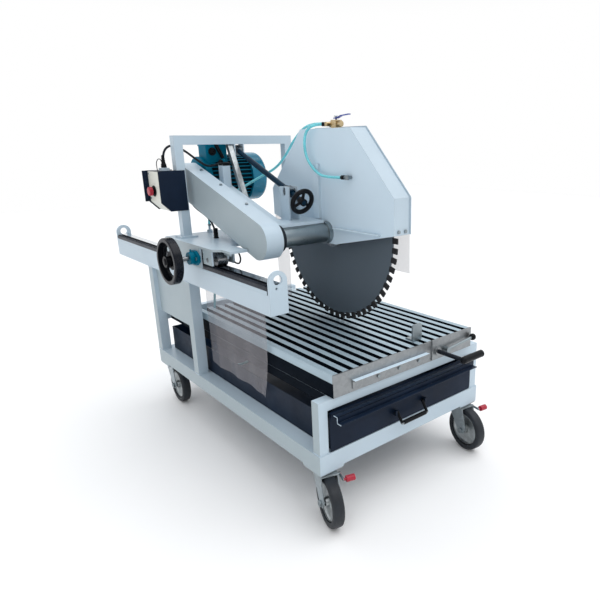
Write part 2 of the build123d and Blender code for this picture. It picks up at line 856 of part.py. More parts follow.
def build_wheel():
    half = WHEEL_W / 2
    web = WHEEL_WEB / 2
    bore = AXLE_R + RUN_FIT
    dish = RIM_R - RIM_STEP
    one_side = [(bore, HUB_HALF), (HUB_R, HUB_HALF), (HUB_R, web), (dish, web),
                (dish + RIM_LEAN, half - RIM_SET), (RIM_R, half - RIM_SET), (RIM_R, half),
                (WHEEL_R - TYRE_EDGE, half), (WHEEL_R, half - TYRE_EDGE)]
    profile = one_side + [(r, -h) for r, h in reversed(one_side)]
    face = Plane.XZ * make_face(Polyline(*profile, close=True))
    return Pos(0, -CASTER_TRAIL, WHEEL_R) * Rot(0, 90, 0) * revolve(face, Axis.Z)


def build_pedal():
    y, z = pedal_place()
    tip = y - PEDAL_L
    wide = FORK_IN + FORK_T
    x0 = wide + PEDAL_OUT
    x1 = x0 + PEDAL_NECK
    pin = rod_x(FORK_IN, x0, y, z, PEDAL_PIN_R)
    boss = rod_x(wide + FREE_GAP, x0 + PEDAL_R, y, z, PEDAL_BOSS_R)
    arm = rod_y(tip, y, x0, z, PEDAL_R)
    elbow = Pos(x0, tip, z) * Sphere(PEDAL_R)
    neck = rod_x(x0, x1, tip, z, PEDAL_R)
    sleeve = rod_x(x1, x1 + SLEEVE_L, tip, z, SLEEVE_R)
    sleeve = fillet(sleeve.edges().filter_by(GeomType.CIRCLE), SLEEVE_ROUND)
    return weld(pin, boss, arm, elbow, neck, sleeve)


# Base frame: ring of rails, posts, front and rear bars, table runners, side panel, caster pads
def build_base_frame():
    members = []
    for x0 in (LEFT, RIGHT - RAIL_W):
        members.append(square_tube(x0, x0 + RAIL_W, FRONT, REAR, BASE_Z, BASE_TOP, RAIL_WALL, "y"))
    inner_x0 = LEFT + RAIL_W
    inner_x1 = RIGHT - RAIL_W
    for y0 in (FRONT, REAR - RAIL_W):
        members.append(square_tube(inner_x0, inner_x1, y0, y0 + RAIL_W, BASE_Z, BASE_TOP, RAIL_WALL, "x"))
    members.append(square_tube(inner_x0, inner_x1, -POST / 2, POST / 2, BASE_Z, BASE_Z + CROSS_RAIL_H,
                               POST_WALL, "x"))
    bar_z = FRONT_TOP - POST
    for x0, y0 in ((POST_X0, POST_Y0), (POST_X1 - POST, POST_Y0), (POST_X1 - POST, POST_Y1 - POST)):
        members.append(square_tube(x0, x0 + POST, y0, y0 + POST, BASE_TOP, FRONT_TOP, POST_WALL, "z"))
    for x0, y0 in ((POST_X0 + POST, POST_Y0), (LEFT + TALL_POST, POST_Y1 - POST)):
        members.append(square_tube(x0, POST_X1 - POST, y0, y0 + POST, bar_z, FRONT_TOP, POST_WALL, "x"))
    for x0 in (-TABLE_HALF, TABLE_HALF - SIDE_BEAM_W):
        members.append(square_tube(x0, x0 + SIDE_BEAM_W, POST_Y0 + POST, POST_Y1 - POST, bar_z, FRONT_TOP,
                                   POST_WALL, "y"))
    for y0 in (MID_POST_Y, REAR - TALL_POST):
        members.append(square_tube(LEFT, LEFT + TALL_POST, y0, y0 + TALL_POST, BASE_TOP, BEAM_Z,
                                   RAIL_WALL, "z"))
    panel_x = LEFT + PANEL_IN
    members.append(block(panel_x, panel_x + PANEL_T, MID_POST_Y + TALL_POST, REAR - TALL_POST,
                         BASE_TOP + PANEL_UP, BEAM_Z))
    half = PAD_SIDE / 2
    for x, y in caster_places().values():
        members.append(block(x - half, x + half, y - half, y + half, CASTER_TOP, BASE_Z))
    for x0 in (inner_x0, inner_x1 - LEDGE_W):
        members.append(block(x0, x0 + LEDGE_W, FRONT + RAIL_W, REAR - RAIL_W, BASE_TOP - LEDGE_T,
                             BASE_TOP))
    corner_x = POST_X0 + POST
    corner_y = POST_Y0 + CORNER_SET
    corner = block(corner_x, corner_x + CORNER_SIDE, corner_y, corner_y + CORNER_T, bar_z - CORNER_SIDE,
                   bar_z)
    corner -= rod_y(corner_y - CUT, corner_y + CORNER_T + CUT, corner_x + CORNER_SIDE,
                    bar_z - CORNER_SIDE, CORNER_R)
    members.append(corner)
    frame = weld(*members)
    drains = []
    for x in (LEFT + RAIL_W / 2, RIGHT - RAIL_W / 2):
        drains.append(rod_z(BASE_Z - CUT, BASE_Z + RAIL_WALL + CUT, x, BASE_L / 5, DRAIN_R))
    for y in (FRONT + RAIL_W / 2, REAR - RAIL_W / 2):
        drains.append(rod_z(BASE_Z - CUT, BASE_Z + RAIL_WALL + CUT, BASE_W / 5, y, DRAIN_R))
    return frame - drains - caster_bolt_holes()


# Rail beam: hollow bar closed by a rounded lifting lug at each end
def build_rail_beam():
    beam = square_tube(LEFT, BEAM_X1, BEAM_Y0, BEAM_Y1, BEAM_Z, BEAM_TOP, BEAM_WALL, "y", caps=False)
    lugs = []
    for y0 in (BEAM_Y0 - LUG_T, BEAM_Y1):
        y1 = y0 + LUG_T
        lug = block(LEFT, BEAM_X1, y0, y1, BEAM_Z, BEAM_TOP + LUG_RISE)
        lug += rod_y(y0, y1, BEAM_MID, BEAM_TOP + LUG_RISE, BEAM_W / 2)
        lug -= rod_y(y0 - CUT, y1 + CUT, BEAM_MID, BEAM_TOP + LUG_EYE_UP, LUG_EYE_R)
        lug -= rod_y(y0 - CUT, y1 + CUT, BEAM_MID - LUG_BOLT_SIDE, BEAM_TOP + LUG_BOLT_UP, LUG_BOLT_R)
        lugs.append(lug)
    beam = weld(beam, *lugs)
    return beam - rod_z(BEAM_Z - CUT, BEAM_Z + BEAM_WALL + CUT, BEAM_MID, 0.0, DRAIN_R)


# Guide rail with a toothed edge along the beam top
def build_toothed_rail():
    y0 = BEAM_Y0 + GUIDE_END
    y1 = BEAM_Y1 - GUIDE_END
    base = block(LEFT, GUIDE_X1, y0, y1, BEAM_TOP, BEAM_TOP + GUIDE_BASE_H)
    rail = block(GUIDE_X0, GUIDE_X1, y0, y1, BEAM_TOP, GUIDE_TOP)
    tip = PITCH_Z + TOOTH_ADD
    root = PITCH_Z - TOOTH_DED
    tip_half = TOOTH_W / 2 - TOOTH_ADD * TOOTH_TAN
    root_half = TOOTH_W / 2 + TOOTH_DED * TOOTH_TAN
    points = [(y0, BEAM_TOP), (y0, root)]
    first = math.ceil((y0 + RACK_END - PINION_Y) / TOOTH_PITCH)
    last = math.floor((y1 - RACK_END - PINION_Y) / TOOTH_PITCH)
    for k in range(first, last + 1):
        c = PINION_Y + k * TOOTH_PITCH
        points += [(c - root_half, root), (c - tip_half, tip), (c + tip_half, tip), (c + root_half, root)]
    points += [(y1, root), (y1, BEAM_TOP)]
    return weld(base, rail, plate_yz(points, LEFT, LEFT + RACK_W))


# Clear splash curtain hanging from the underside of the beam
def build_curtain():
    near = []
    far = []
    count = CURTAIN_FOLDS * 4
    for k in range(count + 1):
        y = CURTAIN_Y0 + CURTAIN_L * k / count
        x = LEFT + CURTAIN_IN + CURTAIN_WAVE * math.sin(2 * math.pi * CURTAIN_FOLDS * k / count)
        near.append((x - CURTAIN_T / 2, y))
        far.append((x + CURTAIN_T / 2, y))
    sides = [Spline(*near), Line(near[-1], far[-1]), Spline(*reversed(far)), Line(far[0], near[0])]
    return extrude(Plane.XY.offset(BEAM_Z - CURTAIN_DROP) * make_face(sides), amount=CURTAIN_DROP)


# Carriage: deck with tongue, left skirt, roller hangers, cross tube and hinge cheeks
def build_carriage():
    hinge_y, hinge_z = arm_point(HINGE_S, -HINGE_DROP)
    tongue_x0 = LEFT + TONGUE_IN
    tongue_x1 = tongue_x0 + TONGUE_W
    tongue_y = DECK_Y0 - TONGUE_L
    chin = DECK_Y0 - DECK_CHIN
    outline = [(DECK_X0, DECK_Y1), (DECK_X0, chin), (tongue_x0, chin - DECK_SLOPE), (tongue_x0, tongue_y),
               (tongue_x1, tongue_y),
               (tongue_x1, DECK_Y0), (DECK_X1, DECK_Y0), (DECK_X1, DECK_Y1)]
    bodies = [plate_xy(outline, DECK_Z, DECK_TOP)]
    skirt = block(DECK_X0, DECK_X0 + SKIRT_T, SKIRT_Y0, SKIRT_Y0 + SKIRT_L, BEAM_TOP + SKIRT_OVER_BEAM,
                  DECK_Z)
    skirt -= rod_x(DECK_X0 - CUT, DECK_X0 + SKIRT_T + CUT, PINION_Y, PINION_Z, SHAFT_HOLE_R)
    bodies.append(skirt)
    for yc in (ROLLER_Y_FRONT, ROLLER_Y_REAR):
        for x0 in (HANGER_X0, HANGER_X1 - HANGER_T):
            y1 = min(yc + HANGER_L / 2, DECK_Y1)
            hanger = block(x0, x0 + HANGER_T, yc - HANGER_L / 2, y1, ROLLER_Z - HANGER_DROP, DECK_Z)
            hanger -= rod_x(x0 - CUT, x0 + HANGER_T + CUT, yc, ROLLER_Z, ROLLER_AXLE_R + RUN_FIT)
            bodies.append(hanger)
    cross_x0 = HANGER_X1 + HANGER_T
    cross_x1 = PORTAL_X1 + CROSS_PAST_POST
    bodies.append(square_tube(cross_x0, cross_x1, CROSS_Y0, CROSS_Y1, DECK_Z - CROSS_H, DECK_Z,
                              CROSS_WALL, "x"))
    for x0 in (HINGE_X0 - CHEEK_GAP - CHEEK_T, HINGE_X1 + CHEEK_GAP):
        cheek = plate_yz([(hinge_y - CHEEK_HALF, DECK_TOP), (hinge_y + CHEEK_HALF, DECK_TOP),
                          (hinge_y + CHEEK_R, hinge_z), (hinge_y - CHEEK_R, hinge_z)], x0, x0 + CHEEK_T)
        cheek += rod_x(x0, x0 + CHEEK_T, hinge_y, hinge_z, CHEEK_R)
        cheek -= rod_x(x0 - CUT, x0 + CHEEK_T + CUT, hinge_y, hinge_z, HINGE_PIN_R + RUN_FIT)
        bodies.append(cheek)
    tab_x = (tongue_x0 + tongue_x1) / 2
    tab_y = tongue_y + TAB_FORWARD
    bodies.append(block(tab_x - TAB_W / 2, tab_x + TAB_W / 2, tab_y, tab_y + TAB_L, DECK_Z - TAB_H,
                        DECK_Z))
    bodies.append(rod_z(DECK_Z - TAB_H - TAB_PIN_L / 2, DECK_Z - TAB_H / 2, tab_x, tab_y + TAB_L / 2,
                        TAB_PIN_R))
    bodies.append(rod_z(DECK_Z - UNION_NUT, DECK_TOP + UNION_NUT, UNION_X, UNION_Y, UNION_R))
    bodies.append(spigot(UPPER_ROUTE[-1], UPPER_ROUTE[-2], UNION_REACH, PORT_R))
    bodies.append(spigot(LOWER_ROUTE[0], LOWER_ROUTE[1], UNION_REACH, PORT_R))
    deck = weld(*bodies)
    drain_z = DECK_Z - CROSS_H
    return deck - rod_z(drain_z - CUT, drain_z + CROSS_WALL + CUT, 0.0, (CROSS_Y0 + CROSS_Y1) / 2,
                        DRAIN_R)


# One flanged guide roller with its axle
def build_roller(yc):
    x0 = GUIDE_X0 - ROLLER_SIDE
    x1 = GUIDE_X1 + ROLLER_SIDE
    tread = rod_x(x0, x1, yc, ROLLER_Z, ROLLER_R)
    left = rod_x(x0 - ROLLER_FLANGE_T, x0, yc, ROLLER_Z, ROLLER_FLANGE_R)
    right = rod_x(x1, x1 + ROLLER_FLANGE_T, yc, ROLLER_Z, ROLLER_FLANGE_R)
    axle = rod_x(HANGER_X0, HANGER_X1, yc, ROLLER_Z, ROLLER_AXLE_R)
    return weld(tread, left, right, axle)


# Travel drive: pinion shaft, flanged bearing and the large handwheel
def build_pinion_shaft():
    points = []
    tip = PITCH_R + TOOTH_ADD
    root = PITCH_R - TOOTH_DED
    tip_half = (TOOTH_W / 2 - TOOTH_ADD * TOOTH_TAN) / tip
    root_half = (TOOTH_W / 2 + TOOTH_ADD * TOOTH_TAN) / root
    step = 2 * math.pi / PINION_TEETH
    for k in range(PINION_TEETH):
        a = -math.pi / 2 + (k + 0.5) * step
        for r, da in ((root, -root_half), (tip, -tip_half), (tip, tip_half), (root, root_half)):
            points.append((PINION_Y + r * math.cos(a + da), PINION_Z + r * math.sin(a + da)))
    pinion = plate_yz(points, LEFT - PINION_PROUD, LEFT + RACK_W)
    shaft = rod_x(BIG_WHEEL_X - BIG_HUB_L / 2, LEFT + RACK_W, PINION_Y, PINION_Z, SHAFT_R)
    return weld(shaft, pinion)


def build_flange_bearing():
    x0 = DECK_X0 - BEARING_FLANGE_T
    half = BEARING_FLANGE_L / 2
    tall = BEARING_FLANGE_H / 2
    waist = BEARING_WAIST / 2
    tip = BEARING_TIP / 2
    corner = [(half, tip), (waist, tall), (-waist, tall), (-half, tip), (-half, -tip), (-waist, -tall),
              (waist, -tall), (half, -tip)]
    body = plate_yz([(PINION_Y + y, PINION_Z + z) for y, z in corner], x0, DECK_X0)
    body += rod_x(x0 - BEARING_HUB_L, x0, PINION_Y, PINION_Z, BEARING_HUB_R)
    body += rod_z(PINION_Z + SHAFT_HOLE_R, PINION_Z + NIPPLE_UP, x0 - NIPPLE_OUT, PINION_Y, NIPPLE_R)
    for sy in (-1, 1):
        spot = Plane(origin=(x0, PINION_Y + sy * (half - BEARING_BOLT_IN), PINION_Z), x_dir=(0, 1, 0),
                     z_dir=(-1, 0, 0))
        body += spot * extrude(RegularPolygon(BEARING_BOLT_R, 6), amount=BEARING_BOLT_H)
    return body - rod_x(x0 - BEARING_HUB_L - CUT, DECK_X0 + CUT, PINION_Y, PINION_Z, SHAFT_R + RUN_FIT)


def build_big_wheel():
    inner = BIG_WHEEL_R - BIG_RIM
    rim = Cylinder(BIG_WHEEL_R, BIG_RIM_W)
    rim = fillet(rim.edges().filter_by(GeomType.CIRCLE), BIG_RIM_ROUND)
    rim -= Cylinder(inner, BIG_RIM_W + CUT)
    web = Cylinder(inner + BIG_RIM / 2, BIG_WEB_T)
    for k in range(SPOKES):
        arc = CenterArc((0, 0), BIG_SLOT_R, BIG_SLOT_START + 360.0 * k / SPOKES, BIG_SLOT_TURN)
        web -= extrude(SlotArc(arc, BIG_SLOT_W), amount=BIG_WEB_T, both=True)
    wheel = weld(rim, Pos(0, 0, -BIG_WEB_SET) * web, Cylinder(BIG_HUB_R, BIG_HUB_L))
    wheel -= Cylinder(SHAFT_R, BIG_HUB_L + CUT)
    return Pos(BIG_WHEEL_X, PINION_Y, PINION_Z) * Rot(0, -90, 0) * wheel


# Portal: two posts and a top bar on foot plates, with ears for the screw nut
def build_portal():
    y1 = PORTAL_Y + PORTAL_TUBE
    mid_y = PORTAL_Y + PORTAL_TUBE / 2
    half = FOOT_SIDE / 2
    bodies = []
    for x0, z0 in ((PORTAL_X0, DECK_TOP), (PORTAL_X1 - PORTAL_TUBE, DECK_Z)):
        xc = x0 + PORTAL_TUBE / 2
        bodies.append(block(xc - half, xc + half, mid_y - half, mid_y + half, z0, z0 + FOOT_T))
        bodies.append(square_tube(x0, x0 + PORTAL_TUBE, PORTAL_Y, y1, z0 + FOOT_T, PORTAL_TOP,
                                  PORTAL_WALL, "z"))
    bodies.append(square_tube(PORTAL_X0 + PORTAL_TUBE, PORTAL_X1 - PORTAL_TUBE, PORTAL_Y, y1, PORTAL_LOW,
                              PORTAL_TOP,
                              PORTAL_WALL, "x"))
    for x0 in (SCREW_X - PIN_HALF, SCREW_X + PIN_HALF - EAR_T):
        ear = block(x0, x0 + EAR_T, NUT_POINT[0] - EAR_HALF, NUT_POINT[0] + EAR_HALF,
                    NUT_POINT[1] - EAR_HALF, PORTAL_LOW)
        bodies.append(ear - rod_x(x0 - CUT, x0 + EAR_T + CUT, NUT_POINT[0], NUT_POINT[1],
                                  PIN_R + RUN_FIT))
    return weld(*bodies)


def build_brace():
    head_y = PORTAL_Y + (PORTAL_TUBE - BRACE_W) / 2
    lean = (head_y - BRACE_FOOT_Y) / (PORTAL_LOW - DECK_TOP) * CUT
    low = DECK_TOP - CUT
    high = PORTAL_LOW + CUT
    outer = plate_yz([(BRACE_FOOT_Y, DECK_TOP), (BRACE_FOOT_Y + BRACE_W, DECK_TOP),
                      (head_y + BRACE_W, PORTAL_LOW),
                      (head_y, PORTAL_LOW)], BRACE_X0, BRACE_X1)
    inner = plate_yz([(BRACE_FOOT_Y + BRACE_T - lean, low), (BRACE_FOOT_Y + 2 * BRACE_W - lean, low),
                      (head_y + 2 * BRACE_W + lean, high), (head_y + BRACE_T + lean, high)],
                     BRACE_X0 + BRACE_T, BRACE_X1 - BRACE_T)
    return outer - inner


# Switch box: folded case with side plates, recessed cover and stop button
def build_box_case():
    outline = [(BOX_X0, BOX_Z1), (BOX_X1, BOX_Z1), (BOX_X1, BOX_Z0), (BOX_X0 + BOX_CHAMFER, BOX_Z0),
               (BOX_X0, BOX_Z0 + BOX_CHAMFER)]
    y0 = BOX_Y0 + BOX_T
    y1 = BOX_Y1 - BOX_T
    sides = [plate_xz(outline, BOX_Y0, y0), plate_xz(outline, y1, BOX_Y1)]
    back = block(PORTAL_X0 - BOX_T, PORTAL_X0, y0, y1, BOX_Z0, BOX_Z1)
    top = block(COVER_X, PORTAL_X0, y0, y1, BOX_Z1 - BOX_T, BOX_Z1)
    bottom = block(COVER_X + BOX_CHAMFER, PORTAL_X0, y0, y1, BOX_Z0, BOX_Z0 + BOX_T)
    x, y, z = CABLE_ROUTE[0]
    half = GLAND_BASE / 2
    base = block(x - half, x + half, y - half, y + half, BOX_Z1, BOX_Z1 + GLAND_BASE_H)
    gland = spigot(CABLE_ROUTE[0], CABLE_ROUTE[1], GLAND_L + GLAND_BASE_H / 2, GLAND_R)
    return weld(*sides, back, top, bottom, base, gland)


def build_box_cover():
    z = BOX_Z0 + BOX_CHAMFER
    slant = BOX_T * math.sqrt(2)
    bend = slant - BOX_T
    outline = [(COVER_X, BOX_Z1 - BOX_T), (COVER_X, z), (COVER_X + BOX_CHAMFER, BOX_Z0),
               (COVER_X + BOX_CHAMFER, BOX_Z0 + slant),
               (COVER_X + BOX_T, z + bend), (COVER_X + BOX_T, BOX_Z1 - BOX_T)]
    cover = plate_xz(outline, BOX_Y0 + BOX_T, BOX_Y1 - BOX_T)
    return cover - rod_x(COVER_X - CUT, COVER_X + BOX_T + CUT, BOX_Y0 + STOP_BACK, BOX_Z0 + STOP_UP,
                         STOP_STEM_R + FREE_GAP)


def build_stop_button():
    y = BOX_Y0 + STOP_BACK
    z = BOX_Z0 + STOP_UP
    back = COVER_X - STOP_STAND
    head = rod_x(back - STOP_HEAD_T, back, y, z, STOP_HEAD_R)
    head = fillet(head.edges().group_by(Axis.X)[0], STOP_HEAD_ROUND)
    return head + rod_x(back, COVER_X + STOP_STEM_IN, y, z, STOP_STEM_R)


# Head arm: drive plate, box arm, hinge, head plate with clevis and a stub post
def build_head_arm():
    hinge_y, hinge_z = arm_point(HINGE_S, -HINGE_DROP)
    plate = sheet_yz(belt_outline(BELT_GUARD_R, BELT_GUARD_R), PLATE_X0, PLATE_X1)
    arm = arm_strip(ARM_S0, ARM_S1, -ARM_LOW, ARM_HIGH, ARM_X0, ARM_X1)
    arm -= arm_strip(ARM_S0 + ARM_WALL, ARM_S1 - ARM_WALL, -ARM_LOW + ARM_WALL, ARM_HIGH - ARM_WALL,
                     ARM_X0 + ARM_WALL, ARM_X1 - ARM_WALL)
    spacers = [arm_strip(SPACER_FRONT[0], SPACER_FRONT[1], -SPACER_HALF, SPACER_HALF, PLATE_X1, ARM_X0),
               arm_strip(ARM_S1 - SPACER_REAR, ARM_S1, -SPACER_HALF, SPACER_HALF, PLATE_X1, ARM_X0)]
    web = arm_strip(HINGE_S - HINGE_WEB, HINGE_S + HINGE_WEB, -HINGE_DROP, -ARM_LOW, HINGE_X0 + WEB_IN,
                    HINGE_X1 - WEB_IN)
    barrel = rod_x(HINGE_X0, HINGE_X1, hinge_y, hinge_z, HINGE_R)
    reach = CHEEK_GAP + CHEEK_T
    pin = rod_x(HINGE_X0 - reach, HINGE_X1 + reach, hinge_y, hinge_z, HINGE_PIN_R)
    head = block(PLATE_X1, HOOD_X0, ARBOR_Y - HEAD_PLATE_FRONT, ARBOR_Y + HEAD_PLATE_BACK, HEAD_PLATE_Z,
                 HEAD_PLATE_TOP)
    head -= block(HOOD_X0 - COLLAR_L - CUT, HOOD_X0 + CUT, ARBOR_Y - COLLAR_NOTCH, ARBOR_Y + COLLAR_NOTCH,
                  HEAD_PLATE_Z - CUT, HEAD_PLATE_TOP + CUT)
    clevis = []
    cy, cz = CLEVIS_POINT
    slot_r = PIN_R + SLOT_GAP
    for x0 in (SCREW_X - PIN_HALF, SCREW_X + PIN_HALF - CLEVIS_T):
        x1 = x0 + CLEVIS_T
        ear = block(x0, x1, cy - CLEVIS_L / 2, cy + CLEVIS_L / 2, HEAD_PLATE_TOP, cz + CLEVIS_EDGE)
        for dz in (-SLOT_RUN, SLOT_RUN):
            ear -= rod_x(x0 - CUT, x1 + CUT, cy, cz + dz, slot_r)
        ear -= block(x0 - CUT, x1 + CUT, cy - slot_r, cy + slot_r, cz - SLOT_RUN, cz + SLOT_RUN)
        clevis.append(ear)
    half = STUB_SIDE / 2
    stub_y, stub_z = arm_point(ARM_S1 - STUB_IN, 0.0)
    stub = block(ARM_MID - half, ARM_MID + half, stub_y - half, stub_y + half,
                 stub_z + ARM_HIGH - STUB_SIDE, stub_z + STUB_RISE)
    body = weld(plate, arm, *spacers, web, barrel, pin, head, *clevis, stub)
    body -= rod_x(PLATE_X0 - CUT, PLATE_X1 + CUT, ARBOR_Y, ARBOR_Z, ARBOR_R + SHAFT_CLEAR)
    body -= rod_x(PLATE_X0 - CUT, PLATE_X1 + CUT, MOTOR_Y, MOTOR_Z, MOTOR_SHAFT_R + SHAFT_CLEAR)
    drain_y, drain_z = arm_point(ARM_S1 - SPACER_REAR, -ARM_LOW)
    return body - rod_z(drain_z - 2 * ARM_WALL, drain_z + 2 * ARM_WALL, ARM_MID, drain_y, DRAIN_R)


def guard_bolt_spots():
    spots = []
    for s in GUARD_BOLTS:
        y, z = arm_point(s, BELT_GUARD_R)
        spots.append(Plane(origin=(PLATE_X0 - GUARD_BOLT_IN, y, z), x_dir=(1, 0, 0),
                           z_dir=(0, ARM_N[0], ARM_N[1])))
    return spots


def hood_bolt_spots():
    y = ARBOR_Y - HOOD_HALF
    z = ARBOR_Z + HOOD_FRONT_LOW + HOOD_BOLT_UP
    return [Plane(origin=(HOOD_X0 + x, y, z), x_dir=(1, 0, 0), z_dir=(0, -1, 0)) for x in HOOD_BOLT_X]


def build_belt_guard():
    inner_r = BELT_GUARD_R - BELT_GUARD_T
    guard = sheet_yz(belt_outline(BELT_GUARD_R, BELT_GUARD_R), GUARD_X0, PLATE_X0)
    guard -= sheet_yz(belt_outline(inner_r, inner_r), GUARD_X0 + BELT_GUARD_T, PLATE_X0 + CUT)
    return guard - [bolt_hole(spot, BELT_GUARD_T + CUT) for spot in guard_bolt_spots()]


def build_head_bolts():
    spots = guard_bolt_spots() + hood_bolt_spots()
    return Compound(children=[hex_bolt(spot, M8_HEAD_R, M8_HEAD_H, M8_R, M8_SHORT) for spot in spots])


# Pulleys and belts
def pulley_bodies(y, z, r):
    wide = PULLEY_PITCH * BELT_COUNT + 2 * PULLEY_END
    bodies = [rod_x(PULLEY_X0, PULLEY_X0 + wide, y, z, r)]
    for k in range(BELT_COUNT + 1):
        x = PULLEY_X0 + PULLEY_END + PULLEY_PITCH * k
        bodies.append(rod_x(x - PULLEY_WEB / 2, x + PULLEY_WEB / 2, y, z, r + PULLEY_RIM))
    return bodies


def build_belts():
    belts = []
    low = FREE_GAP
    high = FREE_GAP + BELT_T
    for k in range(BELT_COUNT):
        x = PULLEY_X0 + PULLEY_END + PULLEY_PITCH * (k + 0.5)
        belt = sheet_yz(belt_outline(ARBOR_PULLEY_R + high, MOTOR_PULLEY_R + high), x - BELT_W / 2,
                        x + BELT_W / 2)
        belt -= sheet_yz(belt_outline(ARBOR_PULLEY_R + low, MOTOR_PULLEY_R + low), x - BELT_W, x + BELT_W)
        belts.append(belt)
    return Compound(children=belts)


def build_motor_pulley():
    shaft = rod_x(PULLEY_X0 - SHAFT_PAST_PULLEY, PLATE_X1 + MOTOR_SHAFT_IN, MOTOR_Y, MOTOR_Z,
                  MOTOR_SHAFT_R)
    return weld(shaft, *pulley_bodies(MOTOR_Y, MOTOR_Z, MOTOR_PULLEY_R))


# Electric motor with finned body, fan cover and terminal box
def build_motor():
    points = []
    outer = MOTOR_R + MOTOR_FIN
    for k in range(MOTOR_FINS):
        for share, r in ((-0.5, MOTOR_R), (-FIN_FOOT, MOTOR_R), (-FIN_TIP, outer), (FIN_TIP, outer),
                         (FIN_FOOT, MOTOR_R)):
            a = 2 * math.pi * (k + share) / MOTOR_FINS
            points.append((MOTOR_Y + r * math.cos(a), MOTOR_Z + r * math.sin(a)))
    bell_x = PLATE_X1 + MOTOR_FLANGE_T
    flange = rod_x(PLATE_X1, bell_x, MOTOR_Y, MOTOR_Z, MOTOR_FLANGE_R)
    bell = rod_x(bell_x, bell_x + BELL_L, MOTOR_Y, MOTOR_Z, BELL_R)
    body = plate_yz(points, bell_x + BELL_L, MOTOR_X1)
    fan = rod_x(MOTOR_X1, FAN_X1, MOTOR_Y, MOTOR_Z, FAN_R)
    fan = fillet(fan.edges().group_by(Axis.X)[-1], FAN_ROUND)
    x0 = PLATE_X1 + TERMINAL_IN
    y0 = MOTOR_Y - TERMINAL_FRONT
    box = block(x0, x0 + TERMINAL_W, y0, y0 + TERMINAL_L, MOTOR_Z + TERMINAL_LOW, MOTOR_Z + TERMINAL_UP)
    box = fillet(box.edges().filter_by(Axis.Z), TERMINAL_ROUND)
    gland = spigot(CABLE_ROUTE[-1], CABLE_ROUTE[-2], TERMINAL_GLAND_L, GLAND_R)
    elbow = Pos(*ELBOW) * Sphere(GLAND_R)
    stub = rod_y(ELBOW[1], y0 + TERMINAL_ROUND, ELBOW[0], ELBOW[2], GLAND_R)
    motor = weld(flange, bell, body, fan, box, gland, elbow, stub)
    motor -= rod_x(PLATE_X1 - CUT, PLATE_X1 + MOTOR_SHAFT_IN + BEARING_L, MOTOR_Y, MOTOR_Z,
                   MOTOR_SHAFT_R + RUN_FIT)
    for k in range(GRILLE_SLOTS):
        z = MOTOR_Z + GRILLE_PITCH * (k - (GRILLE_SLOTS - 1) / 2)
        motor -= block(FAN_X1 - GRILLE_DEEP, FAN_X1 + CUT, MOTOR_Y - GRILLE_HALF, MOTOR_Y + GRILLE_HALF,
                       z - GRILLE_W / 2, z + GRILLE_W / 2)
    return motor


# Arbor: housing tube, turning shaft with driven pulley, blade and its clamp
def build_housing():
    body = rod_x(PLATE_X1, HOOD_X0, ARBOR_Y, ARBOR_Z, HOUSING_R)
    body += rod_x(HOOD_X0 - COLLAR_L, HOOD_X0, ARBOR_Y, ARBOR_Z, COLLAR_R)
    body -= rod_x(PLATE_X1 + BEARING_L, HOOD_X0 - BEARING_L, ARBOR_Y, ARBOR_Z, HOUSING_BORE_R)
    return body - rod_x(PLATE_X1 - CUT, HOOD_X0 + CUT, ARBOR_Y, ARBOR_Z, ARBOR_R + RUN_FIT)


def build_arbor():
    shaft = rod_x(PULLEY_X0 - SHAFT_PAST_PULLEY, BLADE_X0, ARBOR_Y, ARBOR_Z, ARBOR_R)
    thread = rod_x(BLADE_X0, BLADE_X1 + FLANGE_T + NUT_T + THREAD_PAST_NUT, ARBOR_Y, ARBOR_Z,
                   CLAMP_THREAD_R)
    seat = rod_x(BLADE_X0, BLADE_X1 - FREE_GAP, ARBOR_Y, ARBOR_Z, BLADE_BORE_R - RUN_FIT)
    flange = rod_x(BLADE_X0 - FLANGE_T, BLADE_X0, ARBOR_Y, ARBOR_Z, FLANGE_R)
    return weld(shaft, thread, seat, flange, *pulley_bodies(ARBOR_Y, ARBOR_Z, ARBOR_PULLEY_R))


def build_blade():
    core_r = BLADE_R - SEGMENT_H
    core = rod_x(BLADE_X0, BLADE_X1, ARBOR_Y, ARBOR_Z, core_r)
    tall = SEGMENT_H + SEGMENT_IN
    teeth = []
    for k in range(SEGMENTS):
        place = Pos(BLADE_X, ARBOR_Y, ARBOR_Z) * Rot(360.0 * k / SEGMENTS, 0, 0)
        teeth.append(place * Pos(0, 0, BLADE_R - tall / 2) * Box(SEGMENT_T, SEGMENT_L, tall))
    blade = core + teeth
    return blade - rod_x(BLADE_X0 - CUT, BLADE_X1 + CUT, ARBOR_Y, ARBOR_Z, BLADE_BORE_R)


def build_clamp():
    face = BLADE_X1 + FLANGE_T
    spot = Plane(origin=(face, ARBOR_Y, ARBOR_Z), x_dir=(0, 1, 0), z_dir=(1, 0, 0))
    clamp = rod_x(BLADE_X1, face, ARBOR_Y, ARBOR_Z, FLANGE_R)
    clamp += spot * extrude(RegularPolygon(NUT_R, 6), amount=NUT_T)
    return clamp - rod_x(BLADE_X1 - CUT, face + NUT_T + CUT, ARBOR_Y, ARBOR_Z, CLAMP_THREAD_R + RUN_FIT)


# Blade guard: left half with rim, rib and shelf, and the right side plate
def hood_points(points):
    return [(ARBOR_Y + y, ARBOR_Z + z) for y, z in points]


